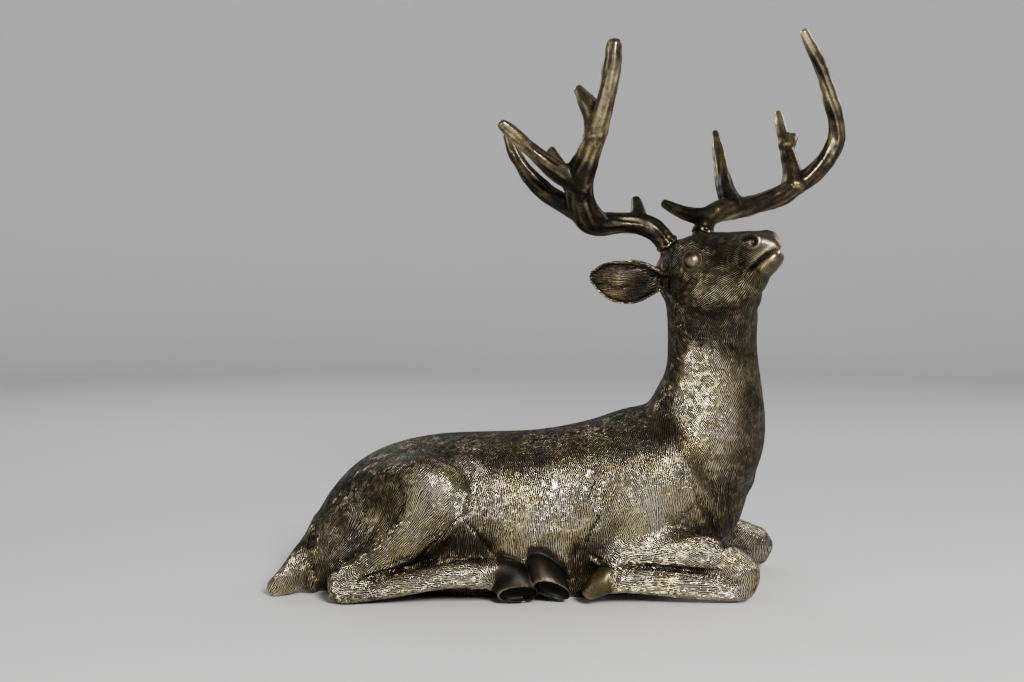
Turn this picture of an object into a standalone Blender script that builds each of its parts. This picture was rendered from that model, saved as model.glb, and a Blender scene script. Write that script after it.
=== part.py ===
"""Recumbent stag, cast in three pieces: the animal, and two antlers seated on its pedicles.

Modelled in metres, +Z up. The stag lies along X with its head toward +X, its right side toward -Y
and its legs folded on the ground plane z = 0. The origin is on the ground under the middle of the
whole piece. All shapes are lofts along smooth spines, merged, softened and then faceted.
"""
import math

import bmesh
import bpy
import numpy as np
from mathutils import Matrix, Vector

# ---------------------------------------------------------------- driving dimensions (millimetres)
MM = 0.001
SHIFT = (-54.6, -5.4, 0.0)      # moves the working frame so that the origin is under the middle
GAP = 0.3                       # clearance at the antler seams
BODY_VOXEL = 3.2
ANTLER_VOXEL = 1.5
BODY_TRIANGLES = 5600
ANTLER_TRIANGLES = 1850

# trunk: station x, half width, top, bottom, height of the widest line; the belly spreads on the ground
TRUNK = (
    (-210.0, 9.0, 42.0, 22.0, 32.0), (-199.0, 30.0, 64.0, 6.0, 34.0), (-182.0, 50.0, 94.0, -6.0, 38.0),
    (-155.0, 62.0, 123.0, -14.0, 42.0), (-120.0, 67.0, 142.5, -16.0, 44.0), (-80.0, 68.0, 152.0, -18.0, 46.0),
    (-30.0, 71.0, 154.0, -20.0, 46.0), (25.0, 73.0, 156.0, -20.0, 48.0), (75.0, 71.0, 165.0, -20.0, 54.0),
    (115.0, 66.0, 178.0, -16.0, 64.0), (150.0, 58.0, 182.0, -6.0, 80.0), (185.0, 47.0, 176.0, 20.0, 96.0),
    (212.0, 36.0, 161.0, 42.0, 102.0), (228.0, 24.0, 146.0, 66.0, 108.0), (236.0, 10.0, 130.0, 92.0, 112.0),
)
# neck: height, centre x, centre y, half depth along the animal, half width, turn of the section (degrees)
NECK = (
    (84.0, 178.0, 0.0, 48.0, 40.0, 0.0),
    (112.0, 182.0, 0.0, 60.0, 46.0, 0.0),
    (140.0, 188.0, 0.0, 63.0, 46.0, 0.0),
    (168.0, 191.5, -1.0, 60.5, 44.0, 4.0),
    (192.0, 195.0, -2.0, 54.0, 40.5, 8.0),
    (215.0, 199.0, -4.0, 46.5, 38.0, 14.0),
    (240.0, 198.0, -7.0, 44.0, 37.0, 22.0),
    (265.0, 197.0, -12.0, 45.0, 37.0, 32.0),
    (288.0, 197.0, -18.0, 50.0, 36.0, 42.0),
    (310.0, 198.0, -20.0, 52.0, 33.0, 48.0),
    (324.0, 196.0, -18.0, 44.0, 28.0, 50.0),
)
# head: its own frame, f forward, l to the animal's left, u up, from the middle between the burrs
HEAD_AT = (168.0, 4.0, 346.0)
HEAD_YAW, HEAD_PITCH, HEAD_ROLL = 51.0, 22.0, 6.0
# f, half width, top u, bottom u, height of the widest line
HEAD = (
    (-38.0, 12.0, -20.0, -50.0, -34.0),
    (-32.0, 22.0, -11.0, -62.0, -36.0),
    (-20.0, 29.0, -5.0, -72.0, -38.0),
    (-2.0, 32.0, -1.0, -78.0, -36.0),
    (18.0, 31.5, -2.5, -80.0, -30.0),
    (36.0, 27.0, -7.5, -80.0, -32.0),
    (53.0, 21.0, -14.5, -78.0, -36.0), (69.0, 18.0, -20.5, -75.0, -41.0), (83.0, 17.5, -25.5, -73.5, -46.0),
    (93.0, 17.0, -31.0, -72.0, -49.0), (100.0, 11.5, -37.0, -65.0, -51.0),
)
PEDICLE_RADIUS = 10.5
# seams between pedicle and antler: centre, axis
SEAM_RIGHT = ((154.5, -2.0, 339.0), (-0.56, -0.10, 0.82))
SEAM_LEFT = ((190.5, 16.0, 350.5), (0.36, 0.30, 0.88))

# right antler (near side): points x, y, z, radius
BEAM_RIGHT = (
    (154.5, -2.0, 339.0, 10.5), (142.5, -3.0, 353.0, 10.0), (126.0, -4.0, 360.5, 10.0),
    (104.0, -8.0, 361.5, 9.8), (85.0, -14.0, 361.5, 11.2), (71.0, -24.0, 371.0, 14.0),
    (63.5, -40.0, 391.0, 13.6), (65.0, -58.0, 408.0, 12.8), (72.5, -74.0, 428.0, 10.4),
    (79.5, -88.0, 450.0, 9.4), (86.0, -100.0, 475.5, 8.6), (90.5, -107.0, 501.5, 7.6),
    (92.0, -110.0, 520.0, 6.4),
)
TINES_RIGHT = (
    ((124.0, -4.0, 360.0, 7.5), (125.5, 6.0, 373.0, 6.0), (124.0, 17.0, 385.0, 3.4)),
    ((66.0, -26.0, 376.0, 11.0), (49.0, -20.0, 381.5, 9.0), (30.0, -17.0, 394.5, 7.2),
     (14.0, -15.0, 411.0, 6.2), (2.0, -11.0, 431.0, 5.0), (-4.0, -8.0, 447.0, 3.2)),
    ((66.0, -52.0, 400.0, 12.0), (50.0, -59.0, 405.0, 9.0), (33.0, -66.0, 416.0, 7.4),
     (18.0, -71.0, 428.0, 6.2), (2.0, -78.0, 442.0, 5.0), (-9.0, -83.0, 451.0, 3.4)),
    ((60.0, -46.0, 398.0, 9.0), (50.0, -48.0, 407.0, 7.0), (43.0, -44.0, 419.0, 5.2),
     (37.5, -40.0, 430.0, 3.2)),
    ((77.0, -84.0, 442.0, 9.0), (74.0, -84.0, 461.0, 7.4), (67.5, -79.0, 474.0, 6.2),
     (62.0, -73.0, 484.0, 4.2)),
)
# left antler (far side)
BEAM_LEFT = (
    (190.5, 16.0, 350.5, 10.8), (197.0, 22.0, 366.5, 10.2), (211.0, 32.0, 374.5, 10.2),
    (228.0, 44.0, 377.0, 9.8), (248.0, 56.0, 381.5, 9.4), (276.5, 70.0, 390.5, 9.8),
    (302.0, 80.0, 405.0, 9.6), (322.0, 84.0, 421.0, 9.0), (334.0, 85.0, 437.5, 8.7),
    (339.5, 84.0, 453.0, 8.6), (338.0, 80.0, 470.5, 8.0), (332.0, 74.0, 488.5, 7.4),
    (323.5, 66.0, 508.0, 6.8), (315.5, 58.0, 524.0, 6.0), (306.0, 50.0, 538.0, 5.4),
    (299.0, 45.0, 549.0, 4.6), (295.0, 42.5, 555.0, 3.8),
)
TINES_LEFT = (
    ((206.0, 28.0, 372.0, 8.0), (190.0, 24.0, 368.5, 7.0), (172.0, 32.0, 374.0, 5.4),
     (155.0, 39.0, 382.5, 3.2)),
    ((228.0, 44.0, 376.0, 9.6), (221.5, 56.0, 393.0, 8.2), (219.5, 78.0, 416.0, 6.4),
     (218.5, 100.0, 441.0, 4.8), (217.5, 116.0, 460.0, 2.8)),
    ((294.0, 78.0, 401.0, 9.4), (294.0, 87.0, 419.0, 8.0), (291.5, 100.0, 441.0, 6.8),
     (288.5, 114.0, 463.0, 4.8), (286.5, 125.0, 482.0, 2.8)),
    ((291.0, 102.0, 444.0, 6.6), (297.0, 106.0, 452.0, 5.4), (301.0, 108.0, 456.0, 3.2)),
)

# legs: points x, y, z, half thickness sideways, half thickness in the plane of the leg
THIGH = ((-128.0, -34.0, 94.0, 24.0, 32.0), (-106.0, -44.0, 96.0, 27.0, 40.0),
         (-80.0, -54.0, 101.0, 26.0, 40.0), (-62.0, -60.0, 103.0, 20.0, 29.0))
GASKIN = ((-64.0, -58.0, 108.0, 20.0, 25.0), (-74.0, -62.0, 86.0, 21.0, 28.0),
          (-93.0, -67.0, 65.0, 19.0, 23.0), (-118.0, -71.0, 47.0, 17.0, 17.0),
          (-142.0, -75.0, 33.0, 15.0, 14.0), (-162.0, -77.0, 20.0, 14.0, 14.5))
HOCK = ((-158.0, -77.0, 22.0, 14.0, 16.0), (-163.0, -77.0, 14.0, 14.0, 14.5),
        (-140.0, -79.0, 13.5, 12.0, 11.0), (-112.0, -81.0, 18.0, 12.0, 11.0),
        (-86.0, -83.0, 24.0, 12.5, 11.8), (-58.0, -84.0, 29.0, 13.5, 12.5),
        (-36.0, -85.0, 31.0, 14.5, 14.0), (-24.0, -85.0, 31.0, 13.0, 13.0))
FOREARM = ((84.0, -58.0, 46.0, 19.0, 17.0), (104.0, -60.0, 46.0, 20.0, 16.5),
           (134.0, -63.0, 47.0, 20.0, 18.0), (164.0, -65.0, 48.0, 19.0, 19.0),
           (190.0, -68.0, 44.0, 17.5, 16.5), (211.0, -71.0, 37.0, 16.0, 15.5),
           (224.0, -72.0, 27.0, 15.0, 14.5))
CANNON = ((223.0, -72.0, 24.0, 14.5, 14.0), (216.0, -73.0, 14.5, 13.0, 13.0),
          (188.0, -76.0, 15.5, 12.0, 12.5), (160.0, -78.0, 18.0, 12.0, 12.5),
          (128.0, -80.0, 21.5, 12.0, 12.0), (104.0, -81.0, 24.5, 12.5, 13.0),
          (92.0, -81.0, 25.5, 13.5, 14.0))
FORE_HOOF = ((97.0, -81.5, 25.0, 13.0, 13.5), (89.0, -82.0, 24.0, 13.5, 13.5),
             (81.0, -83.0, 19.5, 13.0, 11.5), (73.0, -84.0, 13.5, 10.5, 8.0))
HOOF_A = ((-38.0, -83.0, 29.0, 13.0, 13.0), (-22.0, -81.0, 30.0, 15.0, 14.0), (-8.0, -79.0, 27.0, 18.0, 14.5),
          (2.0, -81.0, 19.0, 19.5, 12.5), (6.0, -86.0, 10.5, 19.5, 10.8))
HOOF_B = ((14.0, -62.0, 34.0, 12.0, 13.0), (24.0, -67.0, 34.0, 15.0, 14.0), (33.0, -75.0, 25.0, 18.5, 13.0),
          (38.0, -84.0, 14.0, 19.5, 10.5))
SOLE_A, SOLE_B = (0.10, -0.83, -0.55), (-0.05, -0.83, -0.55)
KNEE = ((217.5, -71.0, 33.0, 14.0, 13.5), (218.5, -72.0, 22.0, 14.0, 13.5), (218.5, -72.5, 12.5, 13.5, 13.0))
SHOULDER = ((158.0, -32.0, 138.0, 26.0, 38.0), (142.0, -42.0, 112.0, 28.0, 42.0),
            (122.0, -50.0, 84.0, 26.0, 36.0), (98.0, -58.0, 58.0, 20.0, 24.0))
FAR_HOCK = ((-158.0, 77.0, 22.0, 14.0, 16.0), (-163.0, 77.0, 14.0, 14.0, 14.5),
            (-142.0, 74.0, 13.5, 12.0, 11.5), (-114.0, 66.0, 14.0, 12.0, 11.5),
            (-86.0, 52.0, 14.0, 12.0, 12.0), (-60.0, 34.0, 14.0, 12.0, 12.0))
FAR_FORE_FORWARD = 40.0         # the left foreleg lies this much further forward
FAR_FORE_DROP = 6.0             # and its forearm this much lower
TAIL = ((-179.0, -8.0, 60.0, 18.0, 22.0), (-188.5, -20.0, 44.0, 16.0, 20.0),
        (-199.5, -32.0, 31.0, 17.0, 19.0), (-213.0, -41.0, 18.0, 15.0, 16.0),
        (-231.0, -48.0, 7.0, 10.0, 9.5))
TAIL_FOLD = ((-188.0, -24.0, 38.0, 14.0, 14.0), (-190.0, -33.0, 23.0, 14.0, 13.0), (-196.0, -40.0, 10.0, 12.0, 10.0))
EAR_ROOT = (-13.0, -30.0, -36.0)    # in the head frame, right ear
EAR_TIP = (-37.0, -100.0, -14.0)
EAR_HALF_HEIGHT = 20.5
EAR_SAG = 4.0                    # the leaf's middle hangs below its root and tip


# ---------------------------------------------------------------- lofting
def smooth_rows(rows, count):
    """Catmull-Rom curve through the rows, at evenly spaced lengths of its first three columns."""
    rows = np.asarray(rows, float)
    ext = np.vstack([2 * rows[0] - rows[1], rows, 2 * rows[-1] - rows[-2]])
    fine = []
    for i in range(1, len(ext) - 2):
        a, b, c, d = ext[i - 1], ext[i], ext[i + 1], ext[i + 2]
        for t in np.linspace(0.0, 1.0, 24, endpoint=False):
            fine.append(0.5 * (2 * b + (c - a) * t + (2 * a - 5 * b + 4 * c - d) * t * t
                               + (3 * b - a - 3 * c + d) * t ** 3))
    fine.append(rows[-1])
    fine = np.array(fine)
    run = np.concatenate([[0.0], np.cumsum(np.linalg.norm(np.diff(fine[:, :3], axis=0), axis=1))])
    at = np.linspace(0.0, run[-1], count)
    return np.column_stack([np.interp(at, run, fine[:, k]) for k in range(fine.shape[1])])


def ring(centre, side, up, half_side, half_up, half_down=None, power=2.0, sides=28):
    """One closed superellipse section."""
    half_down = half_up if half_down is None else half_down
    out = []
    for i in range(sides):
        a = 2 * math.pi * i / sides
        c, s = math.cos(a), math.sin(a)
        x = math.copysign(abs(c) ** (2 / power), c) * half_side
        y = math.copysign(abs(s) ** (2 / power), s) * (half_up if s > 0 else half_down)
        out.append(np.asarray(centre) + x * side + y * up)
    return np.array(out)


def cap_rings(first, second, steps=5):
    """Rings that close an end with a rounded dome, from the end ring outward."""
    middle = first.mean(axis=0)
    axis = middle - second.mean(axis=0)
    axis /= np.linalg.norm(axis)
    reach = 0.5 * np.linalg.norm(first - middle, axis=1).min() + \
        0.25 * np.linalg.norm(first - middle, axis=1).max()
    return [middle + (first - middle) * math.cos(t) + axis * reach * math.sin(t)
            for t in np.linspace(0, math.pi / 2, steps + 2)[1:-1]], middle + axis * reach


def loft(bm, rings, dome=(True, True)):
    """Bridge the rings and close both ends."""
    rings = list(rings)
    start = end = None
    if dome[0]:
        extra, start = cap_rings(rings[0], rings[1])
        rings = extra[::-1] + rings
    if dome[1]:
        extra, end = cap_rings(rings[-1], rings[-2])
        rings = rings + extra
    start = rings[0].mean(axis=0) if start is None else start
    end = rings[-1].mean(axis=0) if end is None else end
    loops = [[bm.verts.new(Vector(p)) for p in r] for r in rings]
    n = len(loops[0])
    for a, b in zip(loops, loops[1:]):
        for i in range(n):
            bm.faces.new((a[i], a[(i + 1) % n], b[(i + 1) % n], b[i]))
    for loop, tip, flip in ((loops[0], start, True), (loops[-1], end, False)):
        v = bm.verts.new(Vector(tip))
        for i in range(n):
            pair = (loop[i], loop[(i + 1) % n])
            bm.faces.new((pair[1], pair[0], v) if flip else (pair[0], pair[1], v))


def tube(bm, rows, count=24, sides=24, plane=(0.0, 1.0, 0.0), power=2.0, dome=(True, True)):
    """Loft along a spine. Rows are x, y, z, radius or x, y, z, half side, half up, where 'side' is
    the direction 'plane' seen along the spine."""
    rows = smooth_rows(rows, count)
    tangents = np.gradient(rows[:, :3], axis=0)
    rings = []
    for row, t in zip(rows, tangents):
        t = t / np.linalg.norm(t)
        side = np.asarray(plane) - t * np.dot(plane, t)
        side /= np.linalg.norm(side)
        up = np.cross(t, side)
        half_side, half_up = row[3], row[4] if len(row) > 4 else row[3]
        rings.append(ring(row[:3], side, up, half_side, half_up, power=power, sides=sides))
    loft(bm, rings, dome)


def mirrored(rows, forward=0.0, drop=0.0):
    """The same limb on the animal's left."""
    return tuple((r[0] + forward, -r[1], r[2] - drop) + tuple(r[3:]) for r in rows)


def head_frame():
    """Origin and axes f, l, u of the head."""
    yaw, pitch, roll = (math.radians(v) for v in (HEAD_YAW, HEAD_PITCH, HEAD_ROLL))
    f = np.array([math.cos(pitch) * math.cos(yaw), -math.cos(pitch) * math.sin(yaw), math.sin(pitch)])
    l0 = np.array([math.sin(yaw), math.cos(yaw), 0.0])
    u0 = np.cross(f, l0)
    l = math.cos(roll) * l0 + math.sin(roll) * u0
    u = -math.sin(roll) * l0 + math.cos(roll) * u0
    return np.array(HEAD_AT), f, l, u


def head_point(f, l, u):
    o, ef, el, eu = head_frame()
    return o + f * ef + l * el + u * eu


# ---------------------------------------------------------------- the animal
def trunk(bm):
    rows = smooth_rows([(x, 0.0, 0.0, w, t, b, m) for x, w, t, b, m in TRUNK], 40)
    rings = []
    for x, _, _, w, t, b, m in rows:
        rings.append(ring((x, 0.0, m), np.array([0, 1.0, 0]), np.array([0, 0, 1.0]),
                          w, t - m, m - b, power=2.15, sides=36))
    loft(bm, rings)


def neck(bm):
    rows = smooth_rows([(cx, cy, z, a, w, turn) for z, cx, cy, a, w, turn in NECK], 28)
    rings = []
    for x, y, z, a, w, turn in rows:
        c, s = math.cos(math.radians(turn)), math.sin(math.radians(turn))
        fore, side = np.array([c, -s, 0.0]), np.array([s, c, 0.0])
        rings.append(ring((x, y, z), fore, side, a, w, power=2.1, sides=32))
    loft(bm, rings)


def head(bm):
    o, ef, el, eu = head_frame()
    rows = smooth_rows([(f, 0.0, 0.0, w, t, b, m) for f, w, t, b, m in HEAD], 36)
    rings = []
    for f, _, _, w, t, b, m in rows:
        rings.append(ring(o + ef * f + eu * m, el, eu, w, t - m, m - b, power=2.2, sides=32))
    loft(bm, rings)
    # throat: from under the chin down into the front of the neck
    tube(bm, [tuple(head_point(78, 0, -54)) + (13.0, 13.0), tuple(head_point(66, 0, -68)) + (16.0, 16.0),
              (219.0, -46.0, 300.0, 21.0, 21.0), (208.0, -26.0, 272.0, 27.0, 26.0),
              (204.0, -10.0, 240.0, 30.0, 30.0)], 16, 24, plane=tuple(el))
    for sign in (-1, 1):
        # brow and eyeball
        tube(bm, [tuple(head_point(8, sign * 22, -14)) + (8.0,),
                  tuple(head_point(20, sign * 25, -14)) + (8.5,),
                  tuple(head_point(32, sign * 21, -17)) + (7.0,)], 8, 16, plane=tuple(eu))
        # ear: a leaf with a hollow front
        root = np.array((EAR_ROOT[0], -sign * EAR_ROOT[1], EAR_ROOT[2]))
        tip = np.array((EAR_TIP[0], -sign * EAR_TIP[1], EAR_TIP[2]))
        rings = []
        for t in np.linspace(0.0, 1.0, 16):
            at = root + (tip - root) * t - np.array((0.0, 0.0, EAR_SAG * math.sin(math.pi * t)))
            half = EAR_HALF_HEIGHT * (0.42 + 0.58 * math.sin(math.pi * t) if t < 0.5 else
                                      max(0.12, 1.0 - ((t - 0.5) / 0.5) ** 2.4) ** 0.62)
            thick = 7.5 * (1 - 0.72 * t)
            rings.append(ring(head_point(*at), ef, eu, thick, half, power=2.0, sides=20))
        loft(bm, rings)


def pedicle(bm, seam, into):
    centre, axis = np.array(seam[0]), np.array(seam[1]) / np.linalg.norm(seam[1])
    rows = [tuple(centre + axis * d) + (PEDICLE_RADIUS,) for d in (-into, -into / 2, 4.0)]
    tube(bm, rows, 8, 24, plane=(0.0, 1.0, 0.2))


def legs(bm):
    side = (0.0, 1.0, 0.0)
    for rows in (THIGH, GASKIN, SHOULDER, FOREARM, CANNON):
        tube(bm, rows, 24, 24, plane=side, power=2.1)
        far = FAR_FORE_FORWARD if rows in (FOREARM, CANNON) else 0.0
        tube(bm, mirrored(rows, far, FAR_FORE_DROP if rows is FOREARM else 0.0), 24, 24, plane=side, power=2.1)
    for rows in (HOCK, FAR_HOCK):
        tube(bm, rows, 24, 24, plane=side, power=2.1)
    tube(bm, TAIL, 20, 24, plane=side)
    tube(bm, TAIL_FOLD, 14, 24, plane=side)


def hoof(bm, rows, plane, sole, hollow):
    """Horn wall that grows to the rim of the sole, and a hollowed sole."""
    rows = smooth_rows(rows, 16)
    tangents = np.gradient(rows[:, :3], axis=0)
    rings = []
    for k, (row, t) in enumerate(zip(rows, tangents)):
        mix = (k / (len(rows) - 1.0)) ** 2
        t = (1 - mix) * t / np.linalg.norm(t) + mix * np.array(sole)
        t /= np.linalg.norm(t)
        side = np.asarray(plane) - t * np.dot(plane, t)
        side /= np.linalg.norm(side)
        up = np.cross(t, side)
        rings.append(ring(row[:3], side, up, row[3], row[4], power=2.15, sides=28))
    for shrink, back in ((2.4, 0.0), (4.5, -hollow), (14.0, -hollow)):
        rings.append(ring(rows[-1][:3] + t * back, side, up, max(rows[-1][3] - shrink, 1.0),
                          max(rows[-1][4] - shrink * rows[-1][4] / rows[-1][3], 0.8), power=2.15, sides=28))
    loft(bm, rings, (True, False))


def hooves(bm):
    hoof(bm, HOOF_A, (1.0, 0.0, 0.0), SOLE_A, 5.0)
    hoof(bm, HOOF_B, (0.85, 0.0, -0.53), SOLE_B, 5.0)
    side = (0.0, 1.0, 0.0)
    for rows, power in ((FORE_HOOF, 2.1), (KNEE, 3.2)):
        tube(bm, rows, 16, 24, plane=side, power=power)
        tube(bm, mirrored(rows, FAR_FORE_FORWARD), 16, 24, plane=side, power=power)


# ---------------------------------------------------------------- objects
def material(name, colour, roughness, metallic):
    mat = bpy.data.materials.new(name)
    mat.use_nodes = True
    shader = mat.node_tree.nodes["Principled BSDF"]
    shader.inputs["Base Color"].default_value = (*colour, 1.0)
    shader.inputs["Roughness"].default_value = roughness
    shader.inputs["Metallic"].default_value = metallic
    return mat


def new_object(name, bm, mat=None):
    """Scale from millimetres, shift to the part's origin and link."""
    bmesh.ops.translate(bm, verts=bm.verts, vec=Vector(SHIFT))
    bmesh.ops.scale(bm, verts=bm.verts, vec=Vector((MM, MM, MM)))
    bmesh.ops.recalc_face_normals(bm, faces=bm.faces)
    mesh = bpy.data.meshes.new(name)
    bm.to_mesh(mesh)
    bm.free()
    obj = bpy.data.objects.new(name, mesh)
    bpy.context.scene.collection.objects.link(obj)
    if mat:
        mesh.materials.append(mat)
    return obj


def cutter(name, bm):
    obj = new_object(name, bm)
    obj.hide_render = True
    obj.display_type = "WIRE"
    return obj


def block(centre, axis, size):
    """A box in millimetres whose base is centred at 'centre', rising along 'axis'."""
    bm = bmesh.new()
    bmesh.ops.create_cube(bm, size=1.0)
    bmesh.ops.translate(bm, verts=bm.verts, vec=(0, 0, 0.5))
    bmesh.ops.scale(bm, verts=bm.verts, vec=size)
    turn = Vector(axis).normalized().to_track_quat("Z", "Y").to_matrix().to_4x4()
    bmesh.ops.transform(bm, verts=bm.verts, matrix=Matrix.Translation(Vector(centre)) @ turn)
    return bm


def disc(centre, axis, radius, height):
    bm = bmesh.new()
    bmesh.ops.create_cone(bm, cap_ends=True, segments=40, radius1=radius, radius2=radius, depth=height)
    bmesh.ops.translate(bm, verts=bm.verts, vec=(0, 0, height / 2))
    turn = Vector(axis).normalized().to_track_quat("Z", "Y").to_matrix().to_4x4()
    bmesh.ops.transform(bm, verts=bm.verts, matrix=Matrix.Translation(Vector(centre)) @ turn)
    return bm


def finish(obj, voxel, repeats, triangles, cuts):
    """Merge the lofts into one skin, soften its joins, facet it and make the flat cuts."""
    remesh = obj.modifiers.new("Merge", "REMESH")
    remesh.mode = "VOXEL"
    remesh.voxel_size = voxel * MM
    remesh.adaptivity = 0.0
    soften = obj.modifiers.new("Soften", "SMOOTH")
    soften.factor = 0.5
    soften.iterations = repeats
    depsgraph = bpy.context.evaluated_depsgraph_get()
    count = sum(len(p.vertices) - 2 for p in obj.evaluated_get(depsgraph).data.polygons)
    facet = obj.modifiers.new("Facet", "DECIMATE")
    facet.ratio = triangles / count
    facet.use_collapse_triangulate = True
    for tool in cuts:
        cut = obj.modifiers.new("Cut " + tool.name, "BOOLEAN")
        cut.operation = "DIFFERENCE"
        cut.solver = "EXACT"
        cut.object = tool
    obj.data.shade_smooth()


def offset(seam, distance):
    centre, axis = np.array(seam[0]), np.array(seam[1]) / np.linalg.norm(seam[1])
    return tuple(centre + axis * distance), tuple(axis)


def antler(name, beam, tines, seam, mat):
    bm = bmesh.new()
    centre, axis = np.array(seam[0]), np.array(seam[1]) / np.linalg.norm(seam[1])
    below = tuple(centre - axis * 8.0) + (12.0,)
    tube(bm, (below,) + beam, 60, 20, plane=(0.30, 0.95, 0.1))
    for rows in tines:
        tube(bm, rows, 20, 16, plane=(0.35, 0.93, 0.1))
    # burr: a thick collar just above the seam
    collar = [tuple(centre + axis * d) + (r,) for d, r in ((-3.0, 11.5), (1.5, 13.2), (5.0, 13.0), (9.0, 10.2))]
    tube(bm, collar, 10, 24, plane=(0.0, 1.0, 0.2))
    obj = new_object(name, bm, mat)
    where, up = offset(seam, GAP / 2)
    base = cutter(name + "_base_cut", block(where, tuple(-v for v in up), (60.0, 60.0, 40.0)))
    finish(obj, ANTLER_VOXEL, 3, ANTLER_TRIANGLES, [base])
    return obj


def main():
    for obj in list(bpy.data.objects):
        bpy.data.objects.remove(obj, do_unlink=True)
    fur = material("antique_bronze_fur", (0.16, 0.125, 0.075), 0.42, 0.85)
    horn = material("antique_bronze_antler", (0.12, 0.095, 0.062), 0.34, 0.85)

    bm = bmesh.new()
    trunk(bm)
    neck(bm)
    head(bm)
    legs(bm)
    hooves(bm)
    pedicle(bm, SEAM_RIGHT, 22.0)
    pedicle(bm, SEAM_LEFT, 22.0)
    body = new_object("deer_body", bm, fur)
    cuts = [cutter("ground_cut", block((0.0, 0.0, 0.0), (0.0, 0.0, -1.0), (900.0, 500.0, 80.0)))]
    for side, seam in (("right", SEAM_RIGHT), ("left", SEAM_LEFT)):
        where, up = offset(seam, -GAP / 2)
        cuts.append(cutter("seat_cut_" + side, disc(where, up, 19.0, 26.0)))
    finish(body, BODY_VOXEL, 5, BODY_TRIANGLES, cuts)

    antler("antler_right", BEAM_RIGHT, TINES_RIGHT, SEAM_RIGHT, horn)
    antler("antler_left", BEAM_LEFT, TINES_LEFT, SEAM_LEFT, horn)


main()
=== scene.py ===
import math

import bmesh
import bpy
import numpy as np
from mathutils import Matrix, Vector
from mathutils.kdtree import KDTree


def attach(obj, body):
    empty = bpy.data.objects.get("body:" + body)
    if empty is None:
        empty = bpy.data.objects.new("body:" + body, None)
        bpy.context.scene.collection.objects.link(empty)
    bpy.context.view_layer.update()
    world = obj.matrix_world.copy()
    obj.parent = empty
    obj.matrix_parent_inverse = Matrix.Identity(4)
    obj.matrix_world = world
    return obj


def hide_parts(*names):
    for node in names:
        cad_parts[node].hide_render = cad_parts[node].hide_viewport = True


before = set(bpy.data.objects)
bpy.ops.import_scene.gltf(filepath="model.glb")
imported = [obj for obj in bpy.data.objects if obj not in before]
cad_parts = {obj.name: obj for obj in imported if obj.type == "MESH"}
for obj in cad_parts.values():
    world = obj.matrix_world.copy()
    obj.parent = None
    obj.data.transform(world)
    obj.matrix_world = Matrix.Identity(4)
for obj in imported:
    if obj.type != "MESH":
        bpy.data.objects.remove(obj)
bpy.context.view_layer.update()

MM = 0.001
SHIFT = np.array((-54.6, -5.4, 0.0))     # working frame (millimetres) to the part's frame
RNG = np.random.default_rng(20)

# ================================================================ sizes (millimetres)
TRUNK = (
    (-210.0, 9.0, 42.0, 22.0, 32.0), (-199.0, 30.0, 64.0, 6.0, 34.0), (-182.0, 50.0, 94.0, -6.0, 38.0),
    (-155.0, 62.0, 123.0, -14.0, 42.0), (-120.0, 67.0, 142.5, -16.0, 44.0), (-80.0, 68.0, 152.0, -18.0, 46.0),
    (-30.0, 71.0, 154.0, -20.0, 46.0), (25.0, 73.0, 156.0, -20.0, 48.0), (75.0, 71.0, 165.0, -20.0, 54.0),
    (115.0, 66.0, 178.0, -16.0, 64.0), (150.0, 58.0, 182.0, -6.0, 80.0), (185.0, 47.0, 176.0, 20.0, 96.0),
    (212.0, 36.0, 161.0, 42.0, 102.0), (228.0, 24.0, 146.0, 66.0, 108.0), (236.0, 10.0, 130.0, 92.0, 112.0),
)
NECK = (
    (84.0, 178.0, 0.0, 48.0, 40.0, 0.0), (112.0, 182.0, 0.0, 60.0, 46.0, 0.0), (140.0, 188.0, 0.0, 63.0, 46.0, 0.0),
    (168.0, 191.5, -1.0, 60.5, 44.0, 4.0), (192.0, 195.0, -2.0, 54.0, 40.5, 8.0), (215.0, 199.0, -4.0, 46.5, 38.0, 14.0),
    (240.0, 198.0, -7.0, 44.0, 37.0, 22.0), (265.0, 197.0, -12.0, 45.0, 37.0, 32.0), (288.0, 197.0, -18.0, 50.0, 36.0, 42.0),
    (310.0, 198.0, -20.0, 52.0, 33.0, 48.0), (324.0, 196.0, -18.0, 44.0, 28.0, 50.0),
)
HEAD_AT = (168.0, 4.0, 346.0)
HEAD_YAW, HEAD_PITCH, HEAD_ROLL = 51.0, 22.0, 6.0
HEAD = (
    (-38.0, 12.0, -20.0, -50.0, -34.0), (-32.0, 22.0, -11.0, -62.0, -36.0), (-20.0, 29.0, -5.0, -72.0, -38.0),
    (-2.0, 32.0, -1.0, -78.0, -36.0), (18.0, 31.5, -2.5, -80.0, -30.0), (36.0, 27.0, -7.5, -80.0, -32.0),
    (53.0, 21.0, -14.5, -78.0, -36.0), (69.0, 18.0, -20.5, -75.0, -41.0), (83.0, 17.5, -25.5, -73.5, -46.0),
    (93.0, 17.0, -31.0, -72.0, -49.0), (100.0, 11.5, -37.0, -65.0, -51.0),
)
PEDICLE_RADIUS = 10.5
SEAM_RIGHT = ((154.5, -2.0, 339.0), (-0.56, -0.10, 0.82))
SEAM_LEFT = ((190.5, 16.0, 350.5), (0.36, 0.30, 0.88))
BEAM_RIGHT = (
    (154.5, -2.0, 339.0, 10.5), (142.5, -3.0, 353.0, 10.0), (126.0, -4.0, 360.5, 10.0),
    (104.0, -8.0, 361.5, 9.8), (85.0, -14.0, 361.5, 11.2), (71.0, -24.0, 371.0, 14.0),
    (63.5, -40.0, 391.0, 13.6), (65.0, -58.0, 408.0, 12.8), (72.5, -74.0, 428.0, 10.4),
    (79.5, -88.0, 450.0, 9.4), (86.0, -100.0, 475.5, 8.6), (90.5, -107.0, 501.5, 7.6),
    (92.0, -110.0, 520.0, 6.4),
)
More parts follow.
